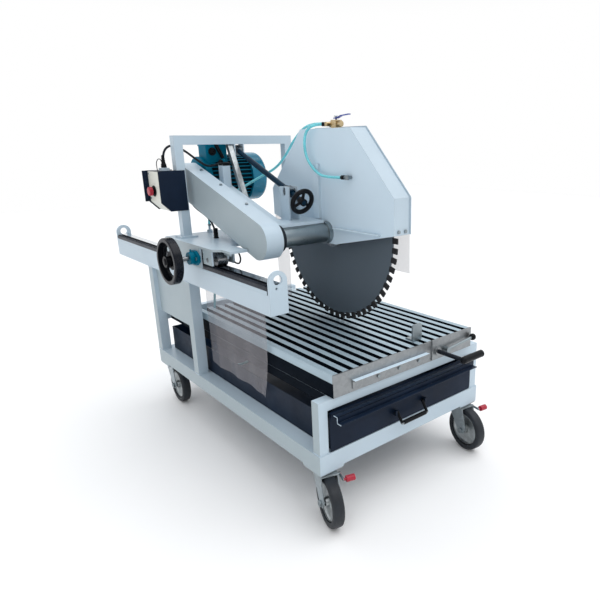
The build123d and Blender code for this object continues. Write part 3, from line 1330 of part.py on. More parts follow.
def build_blade_guard():
    outline = hood_points([(-HOOD_HALF, HOOD_FRONT_LOW), (-HOOD_HALF, HOOD_SHOULDER),
                           (-HOOD_TOP_HALF, HOOD_TOP), (HOOD_TOP_HALF, HOOD_TOP),
                           (HOOD_HALF, HOOD_SHOULDER), (HOOD_HALF, HOOD_REAR_LOW),
                           (APRON_HALF, -APRON_LOW), (-APRON_HALF, -APRON_LOW)])
    side = HOOD_HALF - HOOD_T
    low = -2 * APRON_LOW
    shoulder = HOOD_SHOULDER - HOOD_SLANT
    roof_half = HOOD_TOP_HALF - HOOD_SLANT
    roof = HOOD_TOP - HOOD_T
    hollow = hood_points([(-side, low), (-side, shoulder), (-roof_half, roof), (roof_half, roof),
                          (side, shoulder), (side, low)])
    hood = plate_yz(outline, HOOD_X0, HOOD_X1) - plate_yz(hollow, HOOD_X0 + HOOD_T, HOOD_X1 + CUT)
    shelf_z = ARBOR_Z + SHELF_UP
    shelf = block(HOOD_X0 - SHELF_W, HOOD_X0, ARBOR_Y - SHELF_FRONT, ARBOR_Y - SHELF_REAR,
                  shelf_z - SHELF_T, shelf_z)
    rib_y = ARBOR_Y + RIB_FRONT
    rib = block(HOOD_X0 - RIB_W, HOOD_X0, rib_y, rib_y + RIB_L, HEAD_PLATE_TOP + RIB_FOOT,
                ARBOR_Z + RIB_UP)
    hood = weld(hood, rib, shelf)
    hood -= rod_x(HOOD_X0 - CUT, HOOD_X0 + HOOD_T + CUT, ARBOR_Y, ARBOR_Z, HOOD_HOLE_R)
    return hood - [bolt_hole(spot, HOOD_T + CUT) for spot in hood_bolt_spots()]


def build_side_plate():
    side = HOOD_HALF + SIDE_LIP
    shoulder = HOOD_SHOULDER + SIDE_LIP / 3
    roof_half = HOOD_TOP_HALF + SIDE_LIP / 3
    roof = HOOD_TOP + SIDE_LIP
    outline = hood_points([(-side, HOOD_FRONT_LOW), (-side, shoulder), (-roof_half, roof),
                           (roof_half, roof),
                           (side, shoulder), (side, HOOD_REAR_LOW)])
    return plate_yz(outline, HOOD_X1, HOOD_X1 + SIDE_T)


def build_splash_skirts():
    x0 = HOOD_X1 + SIDE_T
    reach = HOOD_HALF - SKIRT_IN
    side = plate_yz(hood_points([(-reach, -SKIRT_LOW), (-reach, SKIRT_HIGH), (reach, SKIRT_HIGH),
                                 (reach, -SKIRT_LOW)]),
                    x0, x0 + SHEET_T)
    y0 = ARBOR_Y + HOOD_HALF
    flap = block(HOOD_X0 + FLAP_IN, HOOD_X1 - FLAP_IN, y0, y0 + SHEET_T, ARBOR_Z - FLAP_LOW,
                 ARBOR_Z + FLAP_HIGH)
    return Compound(children=[side, flap])


# Routes of the hoses and the cable, from end to end
def spray_route(side):
    if side < 0:
        out = HOOD_X0 - FITTING_OUT
    else:
        out = HOOD_X1 + SIDE_T + FITTING_OUT
    return [(BLADE_X + side * PORT_SIDE, ARBOR_Y + SPRAY_START_Y, VALVE_Z),
            (out - side * 4.0, ARBOR_Y + 57.0, VALVE_Z + 2.0),
            (out + side * 2.0, ARBOR_Y + 108.0, VALVE_Z - 40.0),
            (out + side * 2.0, ARBOR_Y + 106.0, VALVE_Z - 132.0),
            (out + side * 2.0, ARBOR_Y + 22.0, FITTING_Z + 7.0),
            (out + side * 3.0, ARBOR_Y - 65.0, FITTING_Z - 3.0),
            (out, FITTING_Y + FITTING_NOSE, FITTING_Z)]


PUMP_SPOUT = (PUMP_X, PUMP_Y - PUMP_R - SPOUT_L, TRAY_Z + TRAY_T + SPOUT_UP)
UPPER_ROUTE = [(BLADE_X, ARBOR_Y + SUPPLY_START_Y, VALVE_Z),
               (BLADE_X - 1.0, ARBOR_Y + 155.0, VALVE_Z + 15.0),
               (BLADE_X + 1.0, ARBOR_Y + 280.0, VALVE_Z - 50.0),
               (BLADE_X + 7.0, ARBOR_Y + 370.0, VALVE_Z - 126.0),
               (BLADE_X - 1.0, ARBOR_Y + 452.0, VALVE_Z - 189.0),
               (UNION_X + 239.0, UNION_Y - 112.0, DECK_TOP + 258.0),
               (UNION_X + 122.0, UNION_Y - 66.0, DECK_TOP + 192.0),
               (UNION_X + 46.0, UNION_Y - 12.0, DECK_TOP + 140.0),
               (UNION_X, UNION_Y, DECK_TOP + 84.0),
               (UNION_X, UNION_Y, DECK_TOP + UNION_REACH)]
SPOUT_X, SPOUT_Y, SPOUT_Z = PUMP_SPOUT
LOWER_ROUTE = [(UNION_X, UNION_Y, DECK_Z - UNION_REACH),
               (UNION_X + 1.0, UNION_Y + 1.0, DECK_Z - 100.0),
               (UNION_X + 8.0, UNION_Y + 10.0, DECK_Z - 230.0),
               (UNION_X - 4.0, UNION_Y + 23.0, DECK_Z - 370.0),
               (SPOUT_X + 22.0, SPOUT_Y - 22.0, SPOUT_Z + 124.0),
               (SPOUT_X + 45.0, SPOUT_Y - 37.0, SPOUT_Z + 34.0),
               (SPOUT_X + 90.0, SPOUT_Y - 112.0, SPOUT_Z - 2.0),
               (SPOUT_X + 112.0, SPOUT_Y - 200.0, SPOUT_Z - 5.0),
               (SPOUT_X + 65.0, SPOUT_Y - 277.0, SPOUT_Z - 5.0),
               (SPOUT_X - 20.0, SPOUT_Y - 272.0, SPOUT_Z - 4.0),
               (SPOUT_X - 65.0, SPOUT_Y - 192.0, SPOUT_Z - 3.0),
               (SPOUT_X - 52.0, SPOUT_Y - 97.0, SPOUT_Z - 2.0),
               (SPOUT_X - 4.0, SPOUT_Y - 50.0, SPOUT_Z),
               PUMP_SPOUT]

CABLE_START = (BOX_X0 + GLAND_IN, BOX_Y0 + GLAND_BACK, BOX_Z1 + GLAND_BASE_H + GLAND_L)
ELBOW = (PLATE_X1 + TERMINAL_IN + ELBOW_IN, MOTOR_Y - TERMINAL_FRONT - ELBOW_OUT, MOTOR_Z + ELBOW_UP)
LEAN_X = math.cos(math.radians(ELBOW_LEAN))
LEAN_Z = math.sin(math.radians(ELBOW_LEAN))
CABLE_END = (ELBOW[0] - TERMINAL_GLAND_L * LEAN_X, ELBOW[1], ELBOW[2] - TERMINAL_GLAND_L * LEAN_Z)
CABLE_ROUTE = [CABLE_START,
               (CABLE_START[0] + 1.0, CABLE_START[1] + 2.0, CABLE_START[2] + 34.0),
               (CABLE_START[0] + 18.0, CABLE_START[1] + 10.0, CABLE_START[2] + 68.0),
               (CABLE_START[0] + 56.0, CABLE_START[1] + 24.0, CABLE_START[2] + 84.0),
               (CABLE_END[0] - 158.0, CABLE_END[1] + 31.0, CABLE_END[2] + 61.0),
               (CABLE_END[0] - 110.0, CABLE_END[1] + 13.0, CABLE_END[2] + 17.0),
               (CABLE_END[0] - CABLE_LAST * LEAN_X, CABLE_END[1], CABLE_END[2] - CABLE_LAST * LEAN_Z),
               CABLE_END]


# Water valve on the guard, its lever, and the hose elbows on both sides
def build_valve():
    body = rod_y(ARBOR_Y - VALVE_FRONT, ARBOR_Y + VALVE_BACK, BLADE_X, VALVE_Z, VALVE_R)
    y0 = VALVE_STEM_Y - VALVE_BODY_L / 2
    y1 = VALVE_STEM_Y + VALVE_BODY_L / 2
    low = VALVE_Z - VALVE_BODY_H / 2
    housing = block(BLADE_X - VALVE_HALF, BLADE_X + VALVE_HALF, y0, y1, low, VALVE_Z + VALVE_BODY_H / 2)
    wide = PORT_SIDE + MANIFOLD_PAST
    cross = rod_x(BLADE_X - wide, BLADE_X + wide, ARBOR_Y + MANIFOLD_Y, VALVE_Z, MANIFOLD_R)
    foot = block(BLADE_X - VALVE_FOOT / 2, BLADE_X + VALVE_FOOT / 2, y0, y1, ARBOR_Z + HOOD_TOP, VALVE_Z)
    routes = (spray_route(-1), spray_route(1), UPPER_ROUTE)
    ports = [spigot(route[0], route[1], PORT_L, PORT_R) for route in routes]
    valve = weld(body, housing, cross, foot, *ports)
    top = VALVE_Z + VALVE_BODY_H / 2
    return valve - rod_z(top - LEVER_STEM_IN - FREE_GAP, top + CUT, BLADE_X, VALVE_STEM_Y,
                         LEVER_STEM_R + RUN_FIT)


def build_valve_lever():
    top = VALVE_Z + VALVE_BODY_H / 2
    stem = rod_z(top - LEVER_STEM_IN, top + LEVER_STEM_OUT, BLADE_X, VALVE_STEM_Y, LEVER_STEM_R)
    z = top + LEVER_BAR_STAND
    line = [(VALVE_STEM_Y + LEVER_BAR_TAIL, z), (VALVE_STEM_Y - LEVER_BAR_BEND[0], z),
            (VALVE_STEM_Y - LEVER_BAR_BEND[1], z + LEVER_BAR_RISE[0]),
            (VALVE_STEM_Y - LEVER_BAR_BEND[2], z + LEVER_BAR_RISE[1])]
    upper = [(y, h + LEVER_BAR_T) for y, h in reversed(line)]
    return stem + plate_yz(line + upper, BLADE_X - LEVER_BAR_W / 2, BLADE_X + LEVER_BAR_W / 2)


def build_fitting(x0, side):
    x1 = x0 + side * FITTING_OUT
    stem = rod_x(min(x0, x1), max(x0, x1), FITTING_Y, FITTING_Z, FITTING_STEM_R)
    barrel = rod_z(FITTING_Z - FITTING_R, FITTING_Z + FITTING_R, x1, FITTING_Y, FITTING_R)
    route = spray_route(side)
    return weld(stem, barrel, spigot(route[-1], route[-2], FITTING_NOSE, PORT_R))


def build_fittings():
    return Compound(children=[build_fitting(HOOD_X0, -1), build_fitting(HOOD_X1 + SIDE_T, 1)])


# Depth screw, built along its own line with the start at the clevis
def along_screw(s0, s1, r):
    return Pos(0, 0, (s0 + s1) / 2) * Cylinder(r, s1 - s0)


def build_swivel(s, bore):
    body = Pos(0, 0, s) * Box(SWIVEL_W, SWIVEL_SIDE, SWIVEL_SIDE)
    pins = Pos(0, 0, s) * Rot(0, 90, 0) * Cylinder(PIN_R, 2 * PIN_HALF)
    return SCREW_FRAME * (body + pins - along_screw(s - SWIVEL_SIDE, s + SWIVEL_SIDE, bore))


def build_depth_screw():
    half = SWIVEL_SIDE / 2 + SCREW_STOP_GAP
    end = half + SCREW_STOP_L
    rod = along_screw(-SCREW_TO_WHEEL - SMALL_HUB_L / 2, SCREW_LEN + SCREW_PAST_NUT, SCREW_R)
    stops = [along_screw(-end, -half, SCREW_R + SCREW_STOP), along_screw(half, end, SCREW_R + SCREW_STOP)]
    sleeve = along_screw(end, SCREW_LEN - SLEEVE_SHORT, SLEEVE_R)
    return SCREW_FRAME * weld(rod, sleeve, *stops)


def build_small_wheel():
    rim_r = SMALL_WHEEL_R - SMALL_RIM
    hub = Cylinder(SMALL_HUB_R, SMALL_HUB_L) - Cylinder(SCREW_R, SMALL_HUB_L + CUT)
    bodies = [Torus(rim_r, SMALL_RIM), hub]
    inner = (SMALL_HUB_R + SCREW_R) / 2
    for k in range(SPOKES):
        turn = Rot(0, 0, SMALL_SPOKE_TURN + 360.0 * k / SPOKES)
        spoke = Pos((inner + rim_r) / 2, 0, 0) * Rot(0, 90, 0) * Cylinder(SMALL_SPOKE_R, rim_r - inner)
        bodies.append(turn * spoke)
    return SCREW_FRAME * Pos(0, 0, -SCREW_TO_WHEEL) * weld(*bodies)


# Sliding table: slats on two side beams, front plate, shelf bar, lever, handle and stop
def shelf_bolt_spots():
    y = TABLE_FACE - SHELF_BAR_T
    z = TABLE_TOP - SHELF_BAR_DROP - SHELF_BAR_H + SHELF_BOLT_UP
    return [Plane(origin=(SHELF_BAR_X0 + x, y, z), x_dir=(1, 0, 0),
                  z_dir=(0, -1, 0)) for x in SHELF_BOLT_X]


def build_table_top():
    bodies = []
    for k in range(SLATS):
        x0 = -TABLE_HALF + SLAT_PITCH * k
        slat = block(x0, x0 + SLAT_W, TABLE_Y0, TABLE_Y1, SLAT_Z, TABLE_TOP)
        slat -= block(x0 + SLAT_WALL, x0 + SLAT_W - SLAT_WALL, TABLE_Y0 - CUT, TABLE_Y1 + CUT,
                      SLAT_Z - CUT, TABLE_TOP - SLAT_WALL)
        bodies.append(slat)
    for x0 in (-TABLE_HALF, TABLE_HALF - SIDE_BEAM_W):
        x1 = x0 + SIDE_BEAM_W
        bodies.append(square_tube(x0, x1, TABLE_Y0, TABLE_Y1, SIDE_BEAM_Z, SLAT_Z, SIDE_BEAM_WALL, "y",
                                  caps=False))
        bodies.append(block(x0 + PAD_IN, x1 - PAD_IN, TABLE_Y0 + PAD_SHORT, TABLE_Y1 - PAD_SHORT,
                            FRONT_TOP + FREE_GAP, SIDE_BEAM_Z))
    inner = TABLE_HALF - SIDE_BEAM_W
    for y0 in (TABLE_Y0 + CROSS_BAR_IN, TABLE_Y0 + CROSS_BAR_MID, TABLE_Y1 - CROSS_BAR_IN):
        bodies.append(block(-inner, inner, y0, y0 + CROSS_BAR_W, SLAT_Z - CROSS_BAR_T, SLAT_Z))
    bodies.append(block(-TABLE_HALF, TABLE_HALF, TABLE_FACE, TABLE_Y0, FRONT_TOP + FRONT_PLATE_GAP,
                        TABLE_TOP - FRONT_PLATE_DROP))
    bodies.append(block(-TABLE_HALF, TABLE_HALF, TABLE_Y1, TABLE_Y1 + FRONT_PLATE_T, SIDE_BEAM_Z,
                        TABLE_TOP - REAR_BAR_DROP))
    bodies.append(block(CLAMP_PLATE_X, TABLE_HALF, CLAMP_FACE, TABLE_FACE,
                        FRONT_TOP + FRONT_PLATE_GAP + CLAMP_PLATE_LOW,
                        TABLE_TOP + CLAMP_PLATE_PROUD))
    top = weld(*bodies)
    top -= rod_y(CLAMP_FACE - CUT, TABLE_Y0 + CUT, CLAMP_PLATE_X + LEVER_SIDE, TABLE_TOP - LEVER_DROP,
                 LEVER_SHAFT_R + RUN_FIT)
    return top - [bolt_hole(spot, SHELF_BOLT_L + CUT) for spot in shelf_bolt_spots()]


def build_shelf_bar():
    x1 = SHELF_BAR_X0 + SHELF_BAR_L
    z1 = TABLE_TOP - SHELF_BAR_DROP
    bar = block(SHELF_BAR_X0, x1, TABLE_FACE - SHELF_BAR_D, TABLE_FACE, z1 - SHELF_BAR_T, z1)
    bar += block(SHELF_BAR_X0, x1, TABLE_FACE - SHELF_BAR_T, TABLE_FACE, z1 - SHELF_BAR_H, z1)
    return bar - [bolt_hole(spot, SHELF_BAR_T + CUT) for spot in shelf_bolt_spots()]


def build_table_bolts():
    return Compound(children=[hex_bolt(spot, M8_HEAD_R, M8_HEAD_H, M8_R,
                                       SHELF_BOLT_L) for spot in shelf_bolt_spots()])


def build_lock_lever():
    x = CLAMP_PLATE_X + LEVER_SIDE
    y = CLAMP_FACE - LEVER_STAND
    z = TABLE_TOP - LEVER_DROP
    shaft = rod_y(y, TABLE_Y0 + LEVER_SHAFT_PAST, x, z, LEVER_SHAFT_R)
    hub = rod_y(y - LEVER_HUB_PAST, CLAMP_FACE - FREE_GAP, x, z, LEVER_HUB_R)
    turn = Pos(x, y, z) * Rot(0, -LEVER_TILT, 0)
    bar = turn * Pos(LEVER_ARM / 2, 0, 0) * Rot(0, 90, 0) * Cylinder(LEVER_R, LEVER_ARM)
    return weld(shaft, hub, bar, turn * Pos(LEVER_ARM, 0, 0) * Sphere(BALL_R))


def build_push_handle():
    x = CLAMP_PLATE_X + PUSH_SIDE
    y = CLAMP_FACE - PUSH_OUT
    z = TABLE_TOP - LEVER_DROP
    flange = rod_y(CLAMP_FACE - PUSH_FLANGE_T, CLAMP_FACE, x, z, PUSH_FLANGE_R)
    rod = rod_y(y, CLAMP_FACE, x, z, PUSH_R)
    return weld(flange, rod, Pos(x, y, z) * Sphere(GRIP_R), rod_x(x, x + GRIP_L, y, z, GRIP_R))


def build_stop_plate():
    z0 = TABLE_TOP + FREE_GAP
    x0 = STOP_GAP_X - STOP_LEFT
    y0 = TABLE_Y0 + STOP_IN
    face = Pos(x0 + STOP_W / 2, z0 + STOP_H / 2) * RectangleRounded(STOP_W, STOP_H, STOP_ROUND)
    plate = extrude(Plane.XZ.offset(-y0 - STOP_T) * face, amount=STOP_T)
    foot = block(x0 + STOP_FOOT_IN, x0 + STOP_W - STOP_FOOT_IN, y0, y0 + STOP_FOOT_L, z0,
                 z0 + STOP_FOOT_T)
    half = (SLAT_PITCH - SLAT_W) / 2 - STOP_KEY_SIDE
    key = block(STOP_GAP_X - half, STOP_GAP_X + half, y0 + STOP_KEY_FRONT,
                y0 + STOP_FOOT_L - STOP_KEY_BACK, z0 - STOP_KEY_H, z0)
    return weld(plate, foot, key)


# Slurry tray with front panel, drop handle and pump
def build_tray():
    t = TRAY_T
    tray = block(-TRAY_HALF, TRAY_HALF, TRAY_Y0, TRAY_Y1, TRAY_Z, TRAY_TOP)
    tray -= block(-TRAY_HALF + t, TRAY_HALF - t, TRAY_Y0 + t, TRAY_Y1 - t, TRAY_Z + t, TRAY_TOP + CUT)
    wide = TRAY_FRONT_HALF
    panel = block(-wide, wide, TRAY_FACE, TRAY_Y0, TRAY_Z + TRAY_PANEL_LOW, TRAY_FRONT_TOP)
    lip_y = TRAY_FACE - TRAY_LIP
    lip_z = TRAY_FRONT_TOP - TRAY_LIP_H
    lip = block(-wide, wide, lip_y, TRAY_FACE, lip_z, TRAY_FRONT_TOP)
    lip -= block(-wide - CUT, wide + CUT, lip_y + t, TRAY_FACE, lip_z - CUT, TRAY_FRONT_TOP - t)
    pin_y, pin_z = handle_pivot()
    lugs = []
    for sx in (-1, 1):
        near = HANDLE_HALF + HANDLE_R + HANDLE_SIDE_GAP
        x0, x1 = sorted((sx * near, sx * (near + HANDLE_LUG_T)))
        lug = block(x0, x1, pin_y - HANDLE_LUG_PAST, TRAY_FACE, pin_z - HANDLE_LUG_H / 2,
                    pin_z + HANDLE_LUG_H / 2)
        lugs.append(lug - rod_x(x0 - CUT, x1 + CUT, pin_y, pin_z, HANDLE_PIN_R + RUN_FIT))
    return weld(tray, panel, lip, *lugs)


def handle_pivot():
    return TRAY_FACE - HANDLE_STAND, TRAY_Z + HANDLE_UP


def build_tray_handle():
    pin_y, pin_z = handle_pivot()
    reach = HANDLE_HALF + HANDLE_R + HANDLE_SIDE_GAP + HANDLE_LUG_T
    bodies = []
    for sx in (-1, 1):
        x = sx * HANDLE_HALF
        top = Vector(x, pin_y, pin_z)
        low = Vector(x, pin_y - HANDLE_OUT, pin_z - HANDLE_DROP)
        side = Plane(origin=(top + low) * 0.5, z_dir=low - top) * Cylinder(HANDLE_R, (low - top).length)
        bodies += [side, Pos(*top) * Sphere(HANDLE_R), Pos(*low) * Sphere(HANDLE_R)]
        x0, x1 = sorted((x, sx * reach))
        bodies.append(rod_x(x0, x1, pin_y, pin_z, HANDLE_PIN_R))
    grip = HANDLE_HALF - HANDLE_GRIP_IN
    bodies.append(rod_x(-HANDLE_HALF, HANDLE_HALF, pin_y - HANDLE_OUT, pin_z - HANDLE_DROP, HANDLE_R))
    bodies.append(rod_x(-grip, grip, pin_y - HANDLE_OUT, pin_z - HANDLE_DROP, HANDLE_GRIP_R))
    return weld(*bodies)


def build_pump():
    z0 = TRAY_Z + TRAY_T
    z1 = z0 + PUMP_H
    body = rod_z(z0, z1, PUMP_X, PUMP_Y, PUMP_R)
    body = fillet(body.edges().group_by(Axis.Z)[-1], PUMP_ROUND)
    half = PUMP_GRIP_W / 2
    thick = PUMP_GRIP_T / 2
    grip = block(PUMP_X - half, PUMP_X + half, PUMP_Y - thick, PUMP_Y + thick, z1 - PUMP_GRIP_BAR,
                 z1 + PUMP_GRIP_H)
    grip -= block(PUMP_X - half + PUMP_GRIP_BAR, PUMP_X + half - PUMP_GRIP_BAR, PUMP_Y - thick - CUT,
                  PUMP_Y + thick + CUT,
                  z1, z1 + PUMP_GRIP_H - PUMP_GRIP_BAR)
    spout = spigot(PUMP_SPOUT, LOWER_ROUTE[-2], SPOUT_L + PUMP_R / 2, PORT_R)
    return weld(body, grip, spout)


# Save every piece
save("base_frame", build_base_frame())
save("rail_beam", build_rail_beam())
save("toothed_rail", build_toothed_rail())
save("beam_curtain", build_curtain())
save("caster_plates", build_caster_plates())
save("caster_bolts", build_caster_bolts())
for key, (caster_x, caster_y) in caster_places().items():
    place = Pos(caster_x, caster_y, 0) * Rot(0, 0, FORK_TURN[key])
    braked = key in ("fl", "fr")
    save("caster_fork_" + key, place * build_fork(braked))
    save("caster_wheel_" + key, place * build_wheel())
    if braked:
        save("brake_pedal_" + key, place * build_pedal())

save("carriage", build_carriage())
save("guide_roller_front", build_roller(ROLLER_Y_FRONT))
save("guide_roller_rear", build_roller(ROLLER_Y_REAR))
save("pinion_shaft", build_pinion_shaft())
save("flange_bearing", build_flange_bearing())
save("travel_handwheel", build_big_wheel())
save("portal_frame", build_portal())
save("portal_brace", build_brace())
save("switch_box_case", build_box_case())
save("switch_box_cover", build_box_cover())
save("stop_button", build_stop_button())

save("head_arm", build_head_arm())
save("belt_guard", build_belt_guard())
save("head_bolts", build_head_bolts())
save("drive_belts", build_belts())
save("motor", build_motor())
save("motor_pulley", build_motor_pulley())
save("arbor_housing", build_housing())
save("arbor_shaft", build_arbor())
save("saw_blade", build_blade())
save("blade_clamp", build_clamp())
save("blade_guard", build_blade_guard())
save("guard_side_plate", build_side_plate())
save("splash_skirts", build_splash_skirts())
save("water_valve", build_valve())
save("valve_lever", build_valve_lever())
save("hose_fittings", build_fittings())
save("spray_hose_left", hose("spray_hose_left", spray_route(-1), HOSE_R))
save("spray_hose_right", hose("spray_hose_right", spray_route(1), HOSE_R))
upper_hose = hose("supply_hose upper", UPPER_ROUTE, HOSE_R)
lower_hose = hose("supply_hose lower", LOWER_ROUTE, HOSE_R)
save("supply_hose", Compound(children=[upper_hose, lower_hose]))
save("motor_cable", hose("motor_cable", CABLE_ROUTE, CABLE_R))
save("screw_nut", build_swivel(SCREW_LEN, SCREW_R + FREE_GAP))
save("screw_block", build_swivel(0.0, SCREW_R + RUN_FIT))
save("depth_screw", build_depth_screw())
save("depth_handwheel", build_small_wheel())

save("table_top", build_table_top())
save("shelf_bar", build_shelf_bar())
save("table_bolts", build_table_bolts())
save("lock_lever", build_lock_lever())
save("push_handle", build_push_handle())
save("stop_plate", build_stop_plate())
save("slurry_tray", build_tray())
save("tray_handle", build_tray_handle())
save("water_pump", build_pump())
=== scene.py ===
import json
import math

import bpy
import numpy as np
from bpy.props import FloatProperty, FloatVectorProperty, IntProperty, PointerProperty
from mathutils import Matrix, Vector


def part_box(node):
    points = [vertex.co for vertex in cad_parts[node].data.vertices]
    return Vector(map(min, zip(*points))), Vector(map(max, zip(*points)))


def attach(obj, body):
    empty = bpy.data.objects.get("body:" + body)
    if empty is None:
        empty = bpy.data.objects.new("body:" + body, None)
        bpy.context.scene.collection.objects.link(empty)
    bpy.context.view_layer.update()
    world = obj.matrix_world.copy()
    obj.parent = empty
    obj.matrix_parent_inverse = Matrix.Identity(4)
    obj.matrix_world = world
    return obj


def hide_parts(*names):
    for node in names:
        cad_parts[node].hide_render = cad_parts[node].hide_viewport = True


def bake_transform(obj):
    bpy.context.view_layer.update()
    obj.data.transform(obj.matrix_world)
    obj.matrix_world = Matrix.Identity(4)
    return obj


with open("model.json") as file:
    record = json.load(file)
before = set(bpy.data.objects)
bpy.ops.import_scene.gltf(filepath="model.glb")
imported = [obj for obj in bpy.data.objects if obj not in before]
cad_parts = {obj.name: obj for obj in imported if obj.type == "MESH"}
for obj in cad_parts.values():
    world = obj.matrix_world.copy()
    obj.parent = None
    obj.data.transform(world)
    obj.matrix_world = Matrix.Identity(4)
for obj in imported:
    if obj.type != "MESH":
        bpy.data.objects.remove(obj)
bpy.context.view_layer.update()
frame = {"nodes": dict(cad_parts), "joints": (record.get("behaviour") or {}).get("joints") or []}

bl_info = {
    "name": "Stone block saw",
    "version": (1, 0, 0),
    "blender": (4, 5, 0),
    "location": "3D View > Sidebar > Block saw",
    "description": "Dresses the packed block saw with hoses, sheets, wheels, fastenings and finishes",
    "category": "Object",
}

CORNERS = ("fl", "fr", "rl", "rr")
JOINTS = {joint["name"]: joint for joint in frame["joints"]}
TYRE_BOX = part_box("caster_wheel_fl")
CURTAIN_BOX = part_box("beam_curtain")
FINISHES = {}


# Sizes and colours that a user may change
def size(name, note, default):
    return FloatProperty(name=name, description=note, default=default, unit="LENGTH", precision=4)


def colour(name, note, default):
    return FloatVectorProperty(name=name, description=note, default=default, size=3, min=0.0, max=1.0,
                               subtype="COLOR")


def strength(name, note, default):
    return FloatProperty(name=name, description=note, default=default, min=0.0)


def angle(name, note, default):
    return FloatProperty(name=name, description=note, default=default, subtype="ANGLE")


class BlockSawSizes(bpy.types.PropertyGroup):
    """Sizes of the dressed pieces"""
    tyre_radius: size("Tyre radius", "Outer radius of a caster tyre", (TYRE_BOX[1].z - TYRE_BOX[0].z) / 2)
    tyre_width: size("Tyre width", "Width of a caster tyre", 0.046)
    rim_radius: size("Rim radius", "Radius where the tyre meets the rim", 0.076)
    rim_pockets: IntProperty(name="Rim pockets", description="Pressed pockets in a caster rim", default=8, min=3,
                             max=16)
    hose: size("Hose", "Outer diameter of the water hoses", 0.012)
    cable: size("Cable", "Outer diameter of the motor cable", 0.010)
    deck_lead: size("Deck lead", "Outer diameter of the lead under the belt guard", 0.009)
    tongue_loop: size("Tongue loop", "Outer diameter of the lead under the deck's tongue", 0.007)
    earth_wire: size("Earth wire", "Outer diameter of the wire on the switch box", 0.0035)
    sway: size("Sheet sway", "How far the clear sheets wave out of flat", 0.004)
    bead: size("Weld bead", "Radius of a weld bead", 0.003)


class BlockSawColours(bpy.types.PropertyGroup):
    """Colours of the finishes"""
    frame_paint: colour("Frame paint", "Light grey paint of the frame", (0.50, 0.61, 0.695))
    navy_paint: colour("Navy paint", "Dark paint of the tray and switch box", (0.006, 0.014, 0.032))
    cream_paint: colour("Cream paint", "Paint of the switch box cover", (0.75, 0.76, 0.69))
    teal_paint: colour("Teal paint", "Paint of the motor and the bearing", (0.0, 0.155, 0.25))
    zinc: colour("Zinc", "Zinc plated and galvanised steel", (0.27, 0.31, 0.33))
    steel: colour("Steel", "Machined steel", (0.27, 0.28, 0.29))
    blade: colour("Blade", "Core of the saw blade", (0.115, 0.145, 0.175))
    black: colour("Black", "Moulded black plastic", (0.004, 0.005, 0.007))
    rubber: colour("Rubber", "Tyres, belts and cable", (0.012, 0.016, 0.022))
    clear: colour("Clear sheet", "Clear flexible sheet", (0.30, 0.29, 0.32))
    hose: colour("Hose", "Translucent water hose", (0.22, 0.78, 0.86))
    brass: colour("Brass", "Cast brass", (0.56, 0.44, 0.26))
    blue: colour("Blue", "Dipped lever", (0.01, 0.05, 0.36))
    red: colour("Red", "Stop button and pedals", (0.40, 0.012, 0.035))


class BlockSawStage(bpy.types.PropertyGroup):
    """Floor, light and camera"""
    floor: colour("Floor", "Colour of the floor", (0.95, 0.95, 0.95))
    sky: strength("Room light", "Strength of the light from all round", 1.0)
    dim: strength("Dim side", "Share of the room light on the left and front", 0.5)
    key: strength("Key light", "Strength of the soft light from above", 1.25)
    fill: strength("Back light", "Strength of the soft light from behind", 0.35)
    left: strength("Left light", "Strength of the soft light from the left", 0.75)
    softness: angle("Softness", "How wide each light is", 1.0)
    eye: FloatVectorProperty(name="Camera place", description="Where the camera stands", size=3, subtype="TRANSLATION",
                             unit="LENGTH", default=(-1.4244, -2.1286, 1.3673))
    tilt: angle("Tilt", "How far the camera looks down", 0.30109)
    turn: angle("Turn", "How far the camera is turned to the right", 0.71651)
    roll: angle("Roll", "How far the camera is rolled", -0.0128)
    lens: FloatProperty(name="Lens", description="Focal length", subtype="DISTANCE_CAMERA", default=32.2)
    shift: FloatVectorProperty(name="Shift", description="Shift of the picture", size=2, default=(-0.1093, 0.0182))


# Finishes, each built from the surface's own coordinates
def wire(tree, kind, **inputs):
    node = tree.nodes.new("ShaderNode" + kind)
    for key, value in inputs.items():
        node.inputs[key.replace("_", " ")].default_value = value
    return node


def shade_of(value, share):
    return tuple(min(1.0, channel * share) for channel in value) + (1.0,)


def surface_coords(tree, centre, stretch):
    place = tree.nodes.new("ShaderNodeTexCoord")
    shift = wire(tree, "Mapping", Location=tuple(-c * s for c, s in zip(centre, stretch)), Scale=stretch)
    tree.links.new(place.outputs["Object"], shift.inputs["Vector"])
    return shift.outputs["Vector"]


def tone_pattern(tree, coords, pattern, scale):
    if pattern == "flakes":
        cells = wire(tree, "TexVoronoi", Scale=scale, Randomness=1.0)
        tree.links.new(coords, cells.inputs["Vector"])
        split = tree.nodes.new("ShaderNodeSeparateColor")
        tree.links.new(cells.outputs["Color"], split.inputs["Color"])
        return split.outputs["Red"]
    if pattern == "rings":
        rings = wire(tree, "TexWave", Scale=scale, Distortion=1.5, Detail=3.0)
        rings.wave_type = "RINGS"
        rings.rings_direction = "X"
        tree.links.new(coords, rings.inputs["Vector"])
        return rings.outputs["Fac"]
    cloud = wire(tree, "TexNoise", Scale=scale, Detail=5.0, Roughness=0.62)
    tree.links.new(coords, cloud.inputs["Vector"])
    return cloud.outputs["Fac"]


def spread(tree, value, low, high, to_low, to_high):
    ramp = wire(tree, "MapRange", From_Min=low, From_Max=high, To_Min=to_low, To_Max=to_high)
    tree.links.new(value, ramp.inputs["Value"])
    return ramp.outputs["Result"]


